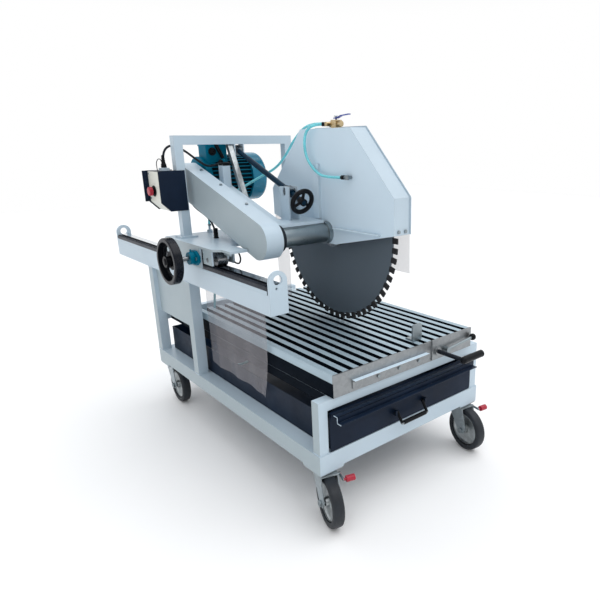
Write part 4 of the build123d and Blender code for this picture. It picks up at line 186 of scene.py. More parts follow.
def make_finish(name, tint, metallic, rough, pattern="cloud", scale=4.0, tone=0.06, grain=500.0, depth=0.0002,
                centre=(0.0, 0.0, 0.0), stretch=(1.0, 1.0, 1.0), edge=0.0012, worn=None, **sockets):
    """A finish with its own tone, gloss and grain; worn is the colour that shows along rubbed edges."""
    finish = bpy.data.materials.new(name)
    finish.use_nodes = True
    tree = finish.node_tree
    shader = tree.nodes["Principled BSDF"]
    shader.inputs["Metallic"].default_value = metallic
    for key, value in sockets.items():
        shader.inputs[key.replace("_", " ")].default_value = value
    coords = surface_coords(tree, centre, stretch)
    tones = wire(tree, "Mix")
    tones.data_type = "RGBA"
    tones.inputs[6].default_value = shade_of(tint, 1.0 - tone)
    tones.inputs[7].default_value = shade_of(tint, 1.0 + tone)
    tree.links.new(spread(tree, tone_pattern(tree, coords, pattern, scale), 0.3, 0.7, 0.0, 1.0), tones.inputs[0])
    top_colour = tones.outputs[2]
    smears = wire(tree, "TexNoise", Scale=scale * 3.7, Detail=6.0, Roughness=0.7)
    tree.links.new(coords, smears.inputs["Vector"])
    tree.links.new(spread(tree, smears.outputs["Fac"], 0.3, 0.7, *rough), shader.inputs["Roughness"])
    bump = wire(tree, "Bump", Strength=0.5, Distance=depth)
    pits = wire(tree, "TexNoise", Scale=grain, Detail=3.0)
    tree.links.new(coords, pits.inputs["Vector"])
    tree.links.new(pits.outputs["Fac"], bump.inputs["Height"])
    if edge:
        round_edge = wire(tree, "Bevel", Radius=edge)
        round_edge.samples = 4
        tree.links.new(round_edge.outputs["Normal"], bump.inputs["Normal"])
        if worn:
            flat = tree.nodes.new("ShaderNodeNewGeometry")
            facing = tree.nodes.new("ShaderNodeVectorMath")
            facing.operation = "DOT_PRODUCT"
            tree.links.new(round_edge.outputs["Normal"], facing.inputs[0])
            tree.links.new(flat.outputs["Normal"], facing.inputs[1])
            rubbed = tree.nodes.new("ShaderNodeMath")
            rubbed.operation = "MULTIPLY"
            tree.links.new(spread(tree, facing.outputs["Value"], 0.99, 0.85, 0.0, 0.8), rubbed.inputs[0])
            tree.links.new(spread(tree, smears.outputs["Fac"], 0.5, 0.62, 0.0, 1.0), rubbed.inputs[1])
            wear = wire(tree, "Mix")
            wear.data_type = "RGBA"
            wear.inputs[7].default_value = shade_of(worn, 1.0)
            tree.links.new(rubbed.outputs[0], wear.inputs[0])
            tree.links.new(top_colour, wear.inputs[6])
            top_colour = wear.outputs[2]
    tree.links.new(top_colour, shader.inputs["Base Color"])
    tree.links.new(bump.outputs["Normal"], shader.inputs["Normal"])
    return finish


def finish_table(c):
    """For each finish its colour, metal share, range of roughness, and what sets it apart."""
    paint = {"scale": 2.2, "tone": 0.03, "grain": 420.0, "depth": 0.00025, "edge": 0.002, "worn": (0.36, 0.40, 0.43)}
    flakes = {"pattern": "flakes", "scale": 60.0, "grain": 90.0}
    dull = {"edge": 0.0, "tone": 0.2}
    blade_centre = JOINTS["blade_spin"]["pos_m"]
    shaded_side_tint = [channel * share for channel, share in zip(c.frame_paint, (0.76, 0.75, 0.71))]
    return {
        # Paints
        "frame_paint": (c.frame_paint, 0.0, (0.34, 0.48), {**paint, "Coat_Weight": 0.08, "Coat_Roughness": 0.25}),
        # Painted shade: a darker copy of the frame paint for faces that look left
        "shaded_side_paint": (shaded_side_tint, 0.0, (0.36, 0.5), paint),
        # Painted highlight: a lighter copy of the frame paint for the blade guard's left face and the shelf bar's top
        "highlight_paint": (shade_of(c.frame_paint, 1.28)[:3], 0.0, (0.34, 0.48), paint),
        "navy_paint": (c.navy_paint, 0.0, (0.34, 0.5), {
            "scale": 5.0, "tone": 0.25, "grain": 420.0, "depth": 0.0003, "edge": 0.0015, "worn": (0.07, 0.08, 0.10),
            "Specular_IOR_Level": 0.12}),
        "cream_paint": (c.cream_paint, 0.0, (0.36, 0.5), {"scale": 6.0, "tone": 0.03, "worn": (0.5, 0.5, 0.5)}),
        "teal_paint": (c.teal_paint, 0.0, (0.26, 0.42), {
            "scale": 7.0, "tone": 0.16, "grain": 300.0, "depth": 0.0003, "worn": (0.02, 0.12, 0.15),
            "Specular_IOR_Level": 0.05}),
        # Painted highlight: a lighter, glossier copy of the teal paint for the fan cover
        "lit_fan_paint": (shade_of(c.teal_paint, 1.15)[:3], 0.0, (0.18, 0.30), {
            "scale": 9.0, "tone": 0.1, "worn": (0.02, 0.10, 0.12), "Specular_IOR_Level": 0.4}),
        # Metals
        "zinc": (c.zinc, 1.0, (0.26, 0.42), {"scale": 30.0, "grain": 160.0, "edge": 0.0008}),
        "galvanised": (shade_of(c.zinc, 1.3)[:3], 0.6, (0.32, 0.5), {
            **flakes, "tone": 0.07, "depth": 0.0003, "edge": 0.001}),
        "slat_zinc": ((0.40, 0.51, 0.58), 0.40, (0.38, 0.54), {
            "scale": 9.0, "grain": 120.0, "stretch": (6.0, 1.0, 6.0), "edge": 0.001}),
        "front_zinc": ((0.30, 0.315, 0.325), 1.0, (0.34, 0.52), {**flakes, "scale": 70.0, "tone": 0.05, "edge": 0.001}),
        "machined": (c.steel, 1.0, (0.2, 0.36), {
            "scale": 18.0, "tone": 0.14, "grain": 900.0, "depth": 0.00015, "edge": 0.0008}),
        "dark_steel": ((0.022, 0.027, 0.038), 0.8, (0.32, 0.5), {
            "scale": 20.0, "tone": 0.25, "grain": 600.0, "edge": 0.0008, "worn": (0.18, 0.19, 0.20)}),
        "polished": ((0.60, 0.64, 0.68), 1.0, (0.1, 0.22), {
            "scale": 14.0, "tone": 0.08, "grain": 700.0, "depth": 0.0001, "stretch": (40.0, 1.0, 40.0),
            "edge": 0.0006}),
        "blade_core": (c.blade, 0.35, (0.4, 0.55), {
            "pattern": "rings", "scale": 70.0, "tone": 0.10, "centre": blade_centre, "edge": 0.0004,
            "Specular_IOR_Level": 0.35}),
        "segment": ((0.02, 0.02, 0.022), 0.3, (0.6, 0.85), {
            "scale": 160.0, "tone": 0.4, "grain": 1500.0, "depth": 0.0006, "edge": 0.0005}),
        # Plastics and rubber
        "black_plastic": (c.black, 0.0, (0.28, 0.44), {
            "scale": 24.0, "tone": 0.2, "grain": 700.0, "worn": (0.03, 0.03, 0.034), "Specular_IOR_Level": 0.14}),
        "wheel_rim": ((0.004, 0.006, 0.011), 0.0, (0.20, 0.32), {
            "scale": 24.0, "tone": 0.2, "Specular_IOR_Level": 0.24}),
        "black_rubber": (c.rubber, 0.0, (0.5, 0.7), {**dull, "scale": 40.0, "grain": 900.0, "Specular_IOR_Level": 0.2}),
        "tyre_rubber": (c.rubber, 0.0, (0.45, 0.65), {
            "scale": 22.0, "tone": 0.3, "grain": 800.0, "depth": 0.0003, "edge": 0.0, "Specular_IOR_Level": 0.4}),
        "brass": (c.brass, 1.0, (0.22, 0.4), {
            "scale": 50.0, "tone": 0.14, "grain": 380.0, "depth": 0.0004, "edge": 0.0008}),
        "blue_plastic": (c.blue, 0.0, (0.2, 0.34), {"scale": 30.0, "tone": 0.12}),
        "red_plastic": (c.red, 0.0, (0.24, 0.36), {"scale": 30.0, "tone": 0.12}),
        "green_cap": ((0.02, 0.30, 0.10), 0.0, (0.25, 0.4), {"scale": 60.0, "tone": 0.1, "edge": 0.0}),
        "grey_cap": ((0.22, 0.24, 0.26), 0.0, (0.3, 0.5), {"scale": 60.0, "tone": 0.1}),
        "cast_iron": ((0.08, 0.08, 0.08), 0.8, (0.4, 0.6), {
            "scale": 40.0, "tone": 0.2, "grain": 250.0, "depth": 0.0006}),
        "pump_plastic": ((0.02, 0.05, 0.11), 0.0, (0.35, 0.5), {"scale": 30.0, "tone": 0.15}),
        "hose": (c.hose, 0.0, (0.16, 0.3), {
            "scale": 26.0, "tone": 0.14, "grain": 200.0, "edge": 0.0, "Transmission_Weight": 0.25, "IOR": 1.4,
            "Coat_Weight": 0.3}),
        "clear_sheet": (c.clear, 0.0, (0.12, 0.28), {
            "scale": 5.0, "tone": 0.08, "grain": 14.0, "depth": 0.004, "edge": 0.0, "Alpha": 0.42, "IOR": 1.45}),
        # Painted shade in gaps and between the motor's fins, bright plating and the painted screw
        "gap_shade": ((0.003, 0.006, 0.011), 0.0, (0.6, 0.8), {
            **dull, "scale": 30.0, "grain": 300.0, "Specular_IOR_Level": 0.04}),
        # Painted shade in the valleys between the motor's fins
        "fin_shade": ((0.001, 0.014, 0.024), 0.0, (0.5, 0.7), {
            **dull, "scale": 40.0, "grain": 300.0, "Specular_IOR_Level": 0.1}),
        "bright_zinc": ((0.40, 0.43, 0.44), 0.9, (0.26, 0.42), {**flakes, "tone": 0.10}),
        "screw_steel": ((0.003, 0.022, 0.045), 0.0, (0.24, 0.36), {
            "scale": 30.0, "tone": 0.15, "edge": 0.0008, "Specular_IOR_Level": 0.1}),
    }


def mix_finishes():
    """All finishes of the saw, from the colours in the panel."""
    for name, (tint, metallic, rough, look) in finish_table(bpy.context.scene.block_saw_colours).items():
        FINISHES[name] = make_finish(name, tint, metallic, rough, **look)


# Ways of working a piece by hand
def clear_selection():
    if bpy.context.mode != "OBJECT":
        bpy.ops.object.mode_set(mode="OBJECT")
    bpy.ops.object.select_all(action="DESELECT")


def take(piece):
    clear_selection()
    piece.select_set(True)
    bpy.context.view_layer.objects.active = piece


def fix_place(piece):
    take(piece)
    bpy.ops.object.transform_apply(location=True, rotation=True, scale=True)


def apply_modifier(piece, kind, **values):
    take(piece)
    modifier = piece.modifiers.new(kind.title(), kind)
    for key, value in values.items():
        setattr(modifier, key, value)
    bpy.ops.object.modifier_apply(modifier=modifier.name)


def smooth(piece, angle=0.6):
    take(piece)
    bpy.ops.object.shade_smooth_by_angle(angle=angle)


def turned(name, stations, sides=32, ring=False):
    """A turned piece along +Z: rings at (height, radius), capped at both ends or closed on itself."""
    clear_selection()
    height, radius = stations[0]
    bpy.ops.mesh.primitive_circle_add(vertices=sides, radius=radius, fill_type="NOTHING" if ring else "NGON",
                                      location=(0.0, 0.0, height))
    piece = bpy.context.object
    piece.name = name
    fix_place(piece)
    bpy.ops.object.mode_set(mode="EDIT")
    bpy.ops.mesh.select_mode(type="VERT")
    bpy.ops.mesh.select_all(action="SELECT")
    for next_height, next_radius in list(stations[1:]) + ([stations[0]] if ring else []):
        bpy.ops.mesh.extrude_region_move(TRANSFORM_OT_translate={"value": (0.0, 0.0, next_height - height)})
        share = next_radius / radius
        bpy.ops.transform.resize(value=(share, share, 1.0), center_override=(0.0, 0.0, next_height))
        height, radius = next_height, next_radius
    bpy.ops.mesh.select_all(action="SELECT")
    bpy.ops.mesh.remove_doubles(threshold=0.000001)
    bpy.ops.mesh.normals_make_consistent(inside=False)
    bpy.ops.object.mode_set(mode="OBJECT")
    return piece


def stand(piece, place, axis):
    """Turns a piece's +Z onto axis and stands it at place."""
    piece.matrix_world = Matrix.Translation(place) @ Vector(axis).to_track_quat("Z", "Y").to_matrix().to_4x4()
    fix_place(piece)
    return piece


def slab(name, low, high, edge=0.001):
    """A flat bar or block between two corners with its edges broken."""
    low, high = Vector(low), Vector(high)
    clear_selection()
    bpy.ops.mesh.primitive_cube_add(size=1.0, location=(low + high) / 2, scale=high - low)
    piece = bpy.context.object
    piece.name = name
    fix_place(piece)
    apply_modifier(piece, "BEVEL", width=edge, segments=2, limit_method="ANGLE")
    smooth(piece)
    return piece


def copy_of(piece, name):
    take(piece)
    bpy.ops.object.duplicate()
    made = bpy.context.object
    made.name = name
    return made


def joined(name, parts):
    clear_selection()
    for part in parts:
        part.select_set(True)
    bpy.context.view_layer.objects.active = parts[0]
    if len(parts) > 1:
        bpy.ops.object.join()
    parts[0].name = name
    return parts[0]


def settle(piece, finish, body=None):
    """Gives a piece its finish and the body that it rides on."""
    piece.data.materials.append(FINISHES[finish])
    if body:
        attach(piece, body)
    return piece


def fitted(name, stations, place, axis, finish, body, sides=28, ring=False):
    """A turned piece stood in its place, smoothed and finished."""
    piece = stand(turned(name, stations, sides, ring), place, axis)
    smooth(piece)
    return settle(piece, finish, body)


def nut(name, reach, height, hole):
    """A chamfered hexagon nut along +Z."""
    return turned(name, [(0.0, reach * 0.92), (height * 0.12, reach), (height * 0.88, reach), (height, reach * 0.92),
                         (height, hole), (height * 0.55, hole * 0.96)], sides=6)


def button_screw(name, radius):
    """A round screw head along +Z with a socket."""
    shares = ((0.0, 1.0), (0.3, 0.98), (0.6, 0.8), (0.72, 0.55), (0.72, 0.42), (0.35, 0.38))
    return turned(name, [(radius * high, radius * wide) for high, wide in shares], sides=20)


def screws(name, radius, places, axis, body="frame"):
    """A set of like screw heads, modelled once and copied."""
    first = button_screw(name, radius)
    rest = [copy_of(first, f"{name}_{k}") for k in range(1, len(places))]
    for piece, place in zip([first] + rest, places):
        stand(piece, place, axis)
    whole = joined(name, [first] + rest)
    smooth(whole)
    return settle(whole, "zinc", body)


def top_of(node, x0, x1, y0, y1):
    """Height of a node's top within a column."""
    heights = [v.co.z for v in frame["nodes"][node].data.vertices if x0 < v.co.x < x1 and y0 < v.co.y < y1]
    if not heights:
        raise RuntimeError(f"{node} has nothing in that column")
    return max(heights)


# Hoses and cables: control points of the routes, in metres. The first five are the part's own.
SPRAY_LEFT = ((0.023933, -0.218, 1.450), (-0.014067, -0.178, 1.452), (-0.020067, -0.127, 1.410),
              (-0.020067, -0.129, 1.318), (-0.020067, -0.213, 1.247), (-0.021067, -0.300, 1.237),
              (-0.018067, -0.387, 1.240))
SPRAY_RIGHT = ((0.073933, -0.218, 1.450), (0.108933, -0.178, 1.452), (0.114933, -0.127, 1.410),
               (0.114933, -0.129, 1.318), (0.114933, -0.213, 1.247), (0.115933, -0.300, 1.237),
               (0.112933, -0.387, 1.240))
SUPPLY_UPPER = ((0.048933, -0.217, 1.450), (0.047933, -0.080, 1.465), (0.049933, 0.045, 1.400),
                (0.055933, 0.135, 1.324), (0.047933, 0.217, 1.261), (-0.011, 0.280, 1.218), (-0.128, 0.326, 1.152),
                (-0.204, 0.380, 1.100), (-0.250, 0.392, 1.044), (-0.250, 0.392, 0.990))
SUPPLY_LOWER = ((-0.250, 0.392, 0.920), (-0.249, 0.393, 0.850), (-0.242, 0.402, 0.720), (-0.254, 0.415, 0.580),
                (-0.248, 0.440, 0.440), (-0.225, 0.425, 0.350), (-0.180, 0.350, 0.314), (-0.158, 0.262, 0.311),
                (-0.205, 0.185, 0.311), (-0.290, 0.190, 0.312), (-0.335, 0.270, 0.313), (-0.322, 0.365, 0.314),
                (-0.274, 0.412, 0.316), (-0.270, 0.462, 0.316))
MOTOR_CABLE = ((-0.458, 0.352, 1.292), (-0.457, 0.354, 1.326), (-0.440, 0.362, 1.360), (-0.402, 0.376, 1.376),
               (-0.350, 0.366, 1.352), (-0.302, 0.348, 1.308), (-0.245, 0.335, 1.2675), (-0.1921, 0.335, 1.2911))
DECK_LEAD = ((-0.335, 0.378, 1.1135), (-0.334, 0.362, 1.098), (-0.332, 0.325, 1.083), (-0.330, 0.280, 1.070),
             (-0.326, 0.238, 1.054), (-0.317, 0.209, 1.024), (-0.313, 0.1965, 0.984))
TONGUE_LOOP = ((-0.362, -0.088, 0.950), (-0.361, -0.104, 0.936), (-0.360, -0.114, 0.914), (-0.360, -0.100, 0.893),
               (-0.361, -0.078, 0.889), (-0.361, -0.057, 0.892))
EARTH_WIRE = ((-0.489, 0.352, 1.265), (-0.4905, 0.352, 1.284), (-0.4895, 0.352, 1.304), (-0.479, 0.352, 1.318),
              (-0.468, 0.352, 1.313), (-0.4655, 0.352, 1.301))


def route(name, points, radius):
    """A smooth tube on the route's own control points; no radius gives the bare line."""
    line = bpy.data.curves.new(name, "CURVE")
    line.dimensions = "3D"
    spline = line.splines.new("NURBS")
    spline.points.add(len(points) - 1)
    for point, place in zip(spline.points, points):
        point.co = (*place, 1.0)
    spline.order_u = 3
    spline.use_endpoint_u = True
    spline.resolution_u = 14
    line.bevel_depth = radius
    line.bevel_resolution = 5
    line.use_fill_caps = True
    tube = bpy.data.objects.new(name, line)
    bpy.context.scene.collection.objects.link(tube)
    return tube


def line_points(name, points):
    """Points along the smooth line of a route."""
    bare = route(name + "_line", points, 0.0)
    mesh = bpy.data.meshes.new_from_object(bare)
    places = [tuple(v.co) for v in mesh.vertices]
    bpy.data.objects.remove(bare)
    bpy.data.meshes.remove(mesh)
    return places


def bending_tube(name, points, diameter, length, bodies, start, end, finish="black_rubber", slot=None, node=None):
    """A tube along its route, made into a mesh on no body, that stands for a node if one is given."""
    places = line_points(name, points)
    tube = route(name, points, diameter / 2)
    take(tube)
    bpy.ops.object.convert(target="MESH")
    tube = bpy.context.object
    settle(tube, finish)
    smooth(tube)
    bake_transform(tube)
    if node:
        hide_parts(node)


def still_tube(name, points, diameter, length, body, finish="black_rubber", slot=None, node=None):
    """A tube that rides on one body, and stands for a node if one is given."""
    tube = settle(route(name, points, diameter / 2), finish, body)
    if node:
        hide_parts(node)


class BLOCKSAW_OT_hoses(bpy.types.Operator):
    """Water hoses: two sprays on the guard, and the supply from the pump by way of the deck union"""
    bl_idname = "blocksaw.hoses"
    bl_label = "Water hoses"

    def execute(self, context):
        width = context.scene.block_saw_sizes.hose
        look = {"finish": "hose", "slot": "hose_plastic"}
        still_tube("spray_hose_left_tube", SPRAY_LEFT, width, 0.483, "head", node="spray_hose_left", **look)
        still_tube("spray_hose_right_tube", SPRAY_RIGHT, width, 0.4813, "head", node="spray_hose_right", **look)
        bending_tube("supply_hose_upper", SUPPLY_UPPER, width, 0.9617, ("head", "carriage"), (0.046, -0.10, 1.46),
                     (-0.245, 0.39, 1.02), node="supply_hose", **look)
        bending_tube("supply_hose_lower", SUPPLY_LOWER, width, 1.2093, ("carriage", "frame"), (-0.25, 0.392, 0.90),
                     (-0.25, 0.392, 0.42), node="supply_hose", **look)
        return {"FINISHED"}


class BLOCKSAW_OT_motor_cable(bpy.types.Operator):
    """Motor cable from the switch box to the terminal box, and the small leads on the carriage"""
    bl_idname = "blocksaw.motor_cable"
    bl_label = "Cables"

    def execute(self, context):
        sizes = context.scene.block_saw_sizes
        bending_tube("motor_cable_tube", MOTOR_CABLE, sizes.cable, 0.3608, ("carriage", "head"), (-0.44, 0.36, 1.34),
                     (-0.21, 0.335, 1.285), node="motor_cable")
        bending_tube("deck_lead", DECK_LEAD, sizes.deck_lead, 0.2367, ("head", "carriage"), (-0.333, 0.34, 1.088),
                     (-0.315, 0.203, 1.015))
        plain, rib = 0.0102, 0.0112
        profile = [(0.0, 0.0125), (0.003, 0.0125), (0.004, plain), (0.010, plain), (0.012, rib), (0.014, plain),
                   (0.022, plain), (0.024, rib), (0.026, plain), (0.036, plain), (0.038, rib), (0.044, 0.0104),
                   (0.046, 0.0080), (0.046, 0.0046), (0.040, 0.0044)]
        fitted("deck_conduit", profile, (-0.313, 0.1965, 0.960), (0, 0, 1), "black_plastic", "carriage")
        still_tube("tongue_loop", TONGUE_LOOP, sizes.tongue_loop, 0.1103, "carriage")
        still_tube("earth_wire", EARTH_WIRE, sizes.earth_wire, 0.0771, "carriage")
        return {"FINISHED"}


# Clear sheets
def hung_sheet(name, low, high, normal, cells, shape, body, node):
    """A clear sheet between two corners, waved out of flat by shape(across, down) and hung on its holder."""
    low, high = Vector(low), Vector(high)
    clear_selection()
    bpy.ops.mesh.primitive_grid_add(x_subdivisions=cells[0], y_subdivisions=cells[1], size=1.0)
    sheet = bpy.context.object
    sheet.name = name
    for vertex in sheet.data.vertices:
        across, down = vertex.co.x + 0.5, 0.5 - vertex.co.y
        out, side, drop = shape(across, down)
        z = high.z + (low.z - high.z) * down + drop
        if normal == "x":
            vertex.co = (low.x + out, low.y + (high.y - low.y) * across + side, z)
        else:
            vertex.co = (low.x + (high.x - low.x) * across + side, low.y + out, z)
    smooth(sheet, 3.1)
    settle(sheet, "clear_sheet", body)
    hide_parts(node)


def clamp_strip(name, low, high, screws_name, places, axis, body):
    """A painted strip over a sheet's top edge with its screws."""
    settle(slab(name, low, high, 0.0008), "frame_paint", body)
    screws(screws_name, 0.006, places, axis, body)


class BLOCKSAW_OT_clear_sheets(bpy.types.Operator):
    """Clear splash sheets: the curtain under the beam, the skirt and the flap on the blade guard"""
    bl_idname = "blocksaw.clear_sheets"
    bl_label = "Clear sheets"

    def execute(self, context):
        sway = context.scene.block_saw_sizes.sway
        low, high = CURTAIN_BOX
        mid = (low.x + high.x) / 2

        def curtain_shape(across, down):
            wave = sway * (0.15 + 0.85 * down) * math.sin(2 * math.pi * (3.2 * across + 0.15 * down))
            curl = 0.020 * max(0.0, 1 - across * 3.5) ** 2 * down ** 3
            return wave - curl, curl * 0.8, 0.0

        def skirt_shape(across, down):
            return sway * 0.8 * down * down * (1 + math.sin(2 * math.pi * 4.3 * across)) * 0.5, 0.0, 0.0

        def flap_shape(across, down):
            return sway * 0.6 * down * (0.4 + math.sin(3.0 * math.pi * across) * down), 0.0, 0.0

        hung_sheet("splash_curtain", (mid, low.y, low.z), (mid, high.y, high.z), "x", (72, 48), curtain_shape, "frame",
                   "beam_curtain")
        hung_sheet("side_skirt", (0.0921, -0.658, 0.868), (0.0921, 0.188, 1.060), "x", (90, 20), skirt_shape, "head",
                   "splash_skirts")
        hung_sheet("rear_flap", (0.0099, 0.1912, 0.610), (0.0819, 0.1912, 1.080), "y", (16, 60), flap_shape, "head",
                   "splash_skirts")
        spots = [(mid + 0.008, low.y + 0.03 + k * (high.y - low.y - 0.06) / 4, high.z - 0.013) for k in range(5)]
        clamp_strip("curtain_strip", (mid + 0.005, low.y, high.z - 0.026), (mid + 0.008, high.y, high.z),
                    "curtain_screws", spots, (1, 0, 0), "frame")
        spots = [(0.0970, -0.63 + k * 0.79 / 6, 1.046) for k in range(7)]
        clamp_strip("skirt_strip", (0.0945, -0.655, 1.034), (0.0970, 0.185, 1.058), "skirt_screws", spots, (1, 0, 0),
                    "head")
        spots = [(0.026, 0.1950, 1.065), (0.066, 0.1950, 1.065)]
        clamp_strip("flap_strip", (0.0105, 0.1925, 1.052), (0.0813, 0.1950, 1.078), "flap_screws", spots, (0, 1, 0),
                    "head")
        return {"FINISHED"}


# Caster wheels
def both_sides(side):
    """A closed outline from one side's outline and its mirror image."""
    return [(-height, radius) for height, radius in side] + list(reversed(side))


def caster_tyre(sizes):
    """A rubber tyre with a shoulder on each side."""
    r, w, rim = sizes.tyre_radius, sizes.tyre_width / 2, sizes.rim_radius
    side = [(0.86 * w, rim), (0.94 * w, rim + 0.003), (w, rim + 0.010), (0.97 * w, r - 0.007), (0.88 * w, r - 0.0045),
            (0.86 * w, r - 0.0035), (0.80 * w, r - 0.0020), (0.55 * w, r - 0.0005), (0.25 * w, r)]
    tyre = turned("caster_tyre", both_sides(side), sides=64, ring=True)
    smooth(tyre, 0.7)
    return tyre


def caster_rim(sizes):
    """A pressed steel rim with a hub and a ring of pockets on each face."""
    w, rim = sizes.tyre_width / 2, sizes.rim_radius
    side = [(0.0265, 0.0105), (0.0265, 0.019), (0.0255, 0.0225), (0.020, 0.024), (0.012, 0.0255), (0.0105, 0.030),
            (0.0105, 0.056), (0.0115, 0.061), (0.016, 0.0665), (w - 0.003, 0.070), (w - 0.0015, 0.073),
            (w - 0.003, rim - 0.0003)]
    piece = turned("caster_rim", both_sides(side), sides=sizes.rim_pockets * 4, ring=True)
    pocket_from, pocket_to = 0.038, 0.050
    step = math.tau / sizes.rim_pockets
    for face in piece.data.polygons:
        far = math.hypot(face.center.x, face.center.y)
        turn = math.atan2(face.center.y, face.center.x) % step
        on_web = pocket_from < far < pocket_to and abs(face.normal.z) > 0.9
        face.select = on_web and 0.25 * step < turn < 0.75 * step
    take(piece)
    bpy.ops.object.mode_set(mode="EDIT")
    bpy.ops.mesh.select_mode(type="FACE")
    bpy.ops.mesh.inset(thickness=0.003, depth=-0.0005)
    bpy.ops.mesh.inset(thickness=0.002, depth=-0.0045)
    bpy.ops.object.mode_set(mode="OBJECT")
    smooth(piece, 0.5)
    return piece


class BLOCKSAW_OT_caster_wheels(bpy.types.Operator):
    """Rubber tyres on pressed rims, with axle nuts on the forks"""
    bl_idname = "blocksaw.caster_wheels"
    bl_label = "Caster wheels"

    def execute(self, context):
        sizes = context.scene.block_saw_sizes
        tyre, rim = caster_tyre(sizes), caster_rim(sizes)
        axle_nut = nut("axle_nut", 0.0142, 0.0095, 0.007)
        fork_half = 0.0361
        for corner in CORNERS:
            joint = JOINTS["roll_" + corner]
            place, axis = Vector(joint["pos_m"]), Vector(joint["axis"])
            for pattern, label, finish, slot in ((tyre, "tyre", "tyre_rubber", None),
                                                 (rim, "rim", "bright_zinc", "zinc")):
                piece = stand(copy_of(pattern, f"caster_{label}_{corner}"), place, axis)
                settle(piece, finish, "wheel_" + corner)
                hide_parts("caster_wheel_" + corner)
            for side, label in ((-axis, "left"), (axis, "right")):
                piece = stand(copy_of(axle_nut, f"axle_nut_{corner}_{label}"), place + side * fork_half, side)
                settle(piece, "zinc", "fork_" + corner)
        for pattern in (tyre, rim, axle_nut):
            bpy.data.objects.remove(pattern)
        return {"FINISHED"}


# Small fittings
def ferrule(name, place, way):
    """A crimped collar where a hose goes on to its spigot."""
    profile = [(-0.006, 0.0066), (-0.006, 0.0082), (-0.004, 0.0088), (0.0, 0.0088), (0.001, 0.0081), (0.003, 0.0081),
               (0.004, 0.0088), (0.009, 0.0088), (0.012, 0.0078), (0.012, 0.0066)]
    fitted(name, profile, place, way, "black_plastic", "head")


def hose_clip(name, place, way, body):
    """A band clip with its screw."""
    inner, outer, half = 0.0066, 0.0076, 0.0045
    band = turned(name, [(-half, inner), (-half, outer), (half, outer), (half, inner)], sides=36, ring=True)
    case = slab(name + "_case", (-0.0055, inner, -0.0042), (0.0055, 0.0126, 0.0042))
    head = stand(nut(name + "_screw", 0.0042, 0.004, 0.0016), (0.0055, 0.0098, 0.0), (1, 0, 0))
    whole = stand(joined(name, [band, case, head]), place, way)
    smooth(whole)
    settle(whole, "zinc", body)


class BLOCKSAW_OT_hose_ends(bpy.types.Operator):
    """Collars and band clips on the hose ends"""
    bl_idname = "blocksaw.hose_ends"
    bl_label = "Hose ends"

    def execute(self, context):
        clip_in = 0.006
        for label, points in (("left", SPRAY_LEFT), ("right", SPRAY_RIGHT)):
            ferrule("valve_collar_" + label, points[0], Vector(points[1]) - Vector(points[0]))
            ferrule("elbow_collar_" + label, points[-1], Vector(points[-2]) - Vector(points[-1]))
        ferrule("valve_collar_supply", SUPPLY_UPPER[0], Vector(SUPPLY_UPPER[1]) - Vector(SUPPLY_UPPER[0]))
        hose_clip("union_clip_upper", Vector(SUPPLY_UPPER[-1]) + Vector((0, 0, clip_in)), (0, 0, 1), "carriage")
        hose_clip("union_clip_lower", Vector(SUPPLY_LOWER[0]) - Vector((0, 0, clip_in)), (0, 0, -1), "carriage")
        hose_clip("pump_clip", Vector(SUPPLY_LOWER[-1]) - Vector((0, clip_in, 0)), (0, 1, 0), "frame")
        return {"FINISHED"}


def cable_gland(name, place, way, body):
    """A hexagon gland nut with a domed cap round a cable."""
    base = nut(name, 0.0128, 0.008, 0.0095)
    cap = turned(name + "_cap", [(0.007, 0.0098), (0.010, 0.0118), (0.014, 0.0116), (0.018, 0.0098), (0.020, 0.0072),
                                 (0.020, 0.0056), (0.017, 0.0054)], sides=28)
    whole = stand(joined(name, [base, cap]), place, way)
    smooth(whole)
    settle(whole, "black_plastic", body)


class BLOCKSAW_OT_switch_box_details(bpy.types.Operator):
    """Stop button collar, cover screws, cable gland, bend relief and plate lip of the switch box"""
    bl_idname = "blocksaw.switch_box_details"
    bl_label = "Switch box details"

    def execute(self, context):
        low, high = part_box("switch_box_cover")
        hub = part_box("stop_button")
        y, z = (hub[0].y + hub[1].y) / 2, (hub[0].z + hub[1].z) / 2
        profile = [(0.0, 0.0125), (0.0, 0.025), (0.0025, 0.0245), (0.0045, 0.022), (0.0045, 0.0125)]
        fitted("stop_collar", profile, (low.x, y, z), (-1, 0, 0), "black_plastic", "carriage", sides=40, ring=True)
        inset, low_row = 0.011, 0.055
        spots = [(low.x, low.y + inset, high.z - inset), (low.x, high.y - inset, high.z - inset),
                 (low.x, low.y + inset, low.z + low_row), (low.x, high.y - inset, low.z + low_row)]
        screws("cover_screws", 0.0045, spots, (-1, 0, 0), "carriage")
        cable_start = Vector(MOTOR_CABLE[0])
        cable_gland("switch_gland", cable_start - Vector((0, 0, 0.014)), (0, 0, 1), "carriage")
        profile = [(0.0, 0.0088), (0.006, 0.0088), (0.007, 0.0078), (0.009, 0.0078), (0.010, 0.0084), (0.015, 0.0081),
                   (0.016, 0.0072), (0.018, 0.0072), (0.019, 0.0077), (0.024, 0.0074), (0.025, 0.0066),
                   (0.027, 0.0066), (0.028, 0.0070), (0.036, 0.0062), (0.036, 0.0050)]
        fitted("switch_boot", profile, cable_start + Vector((0, 0, 0.004)), Vector(MOTOR_CABLE[1]) - cable_start,
               "black_plastic", "carriage")
        case_low, case_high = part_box("switch_box_case")
        lip = slab("switch_plate_lip", (case_low.x - 0.017, case_high.y - 0.0035, case_low.z + 0.040),
                   (case_low.x + 0.0005, case_high.y, case_low.z + 0.1785), 0.0008)
        settle(lip, "navy_paint", "carriage")
        return {"FINISHED"}


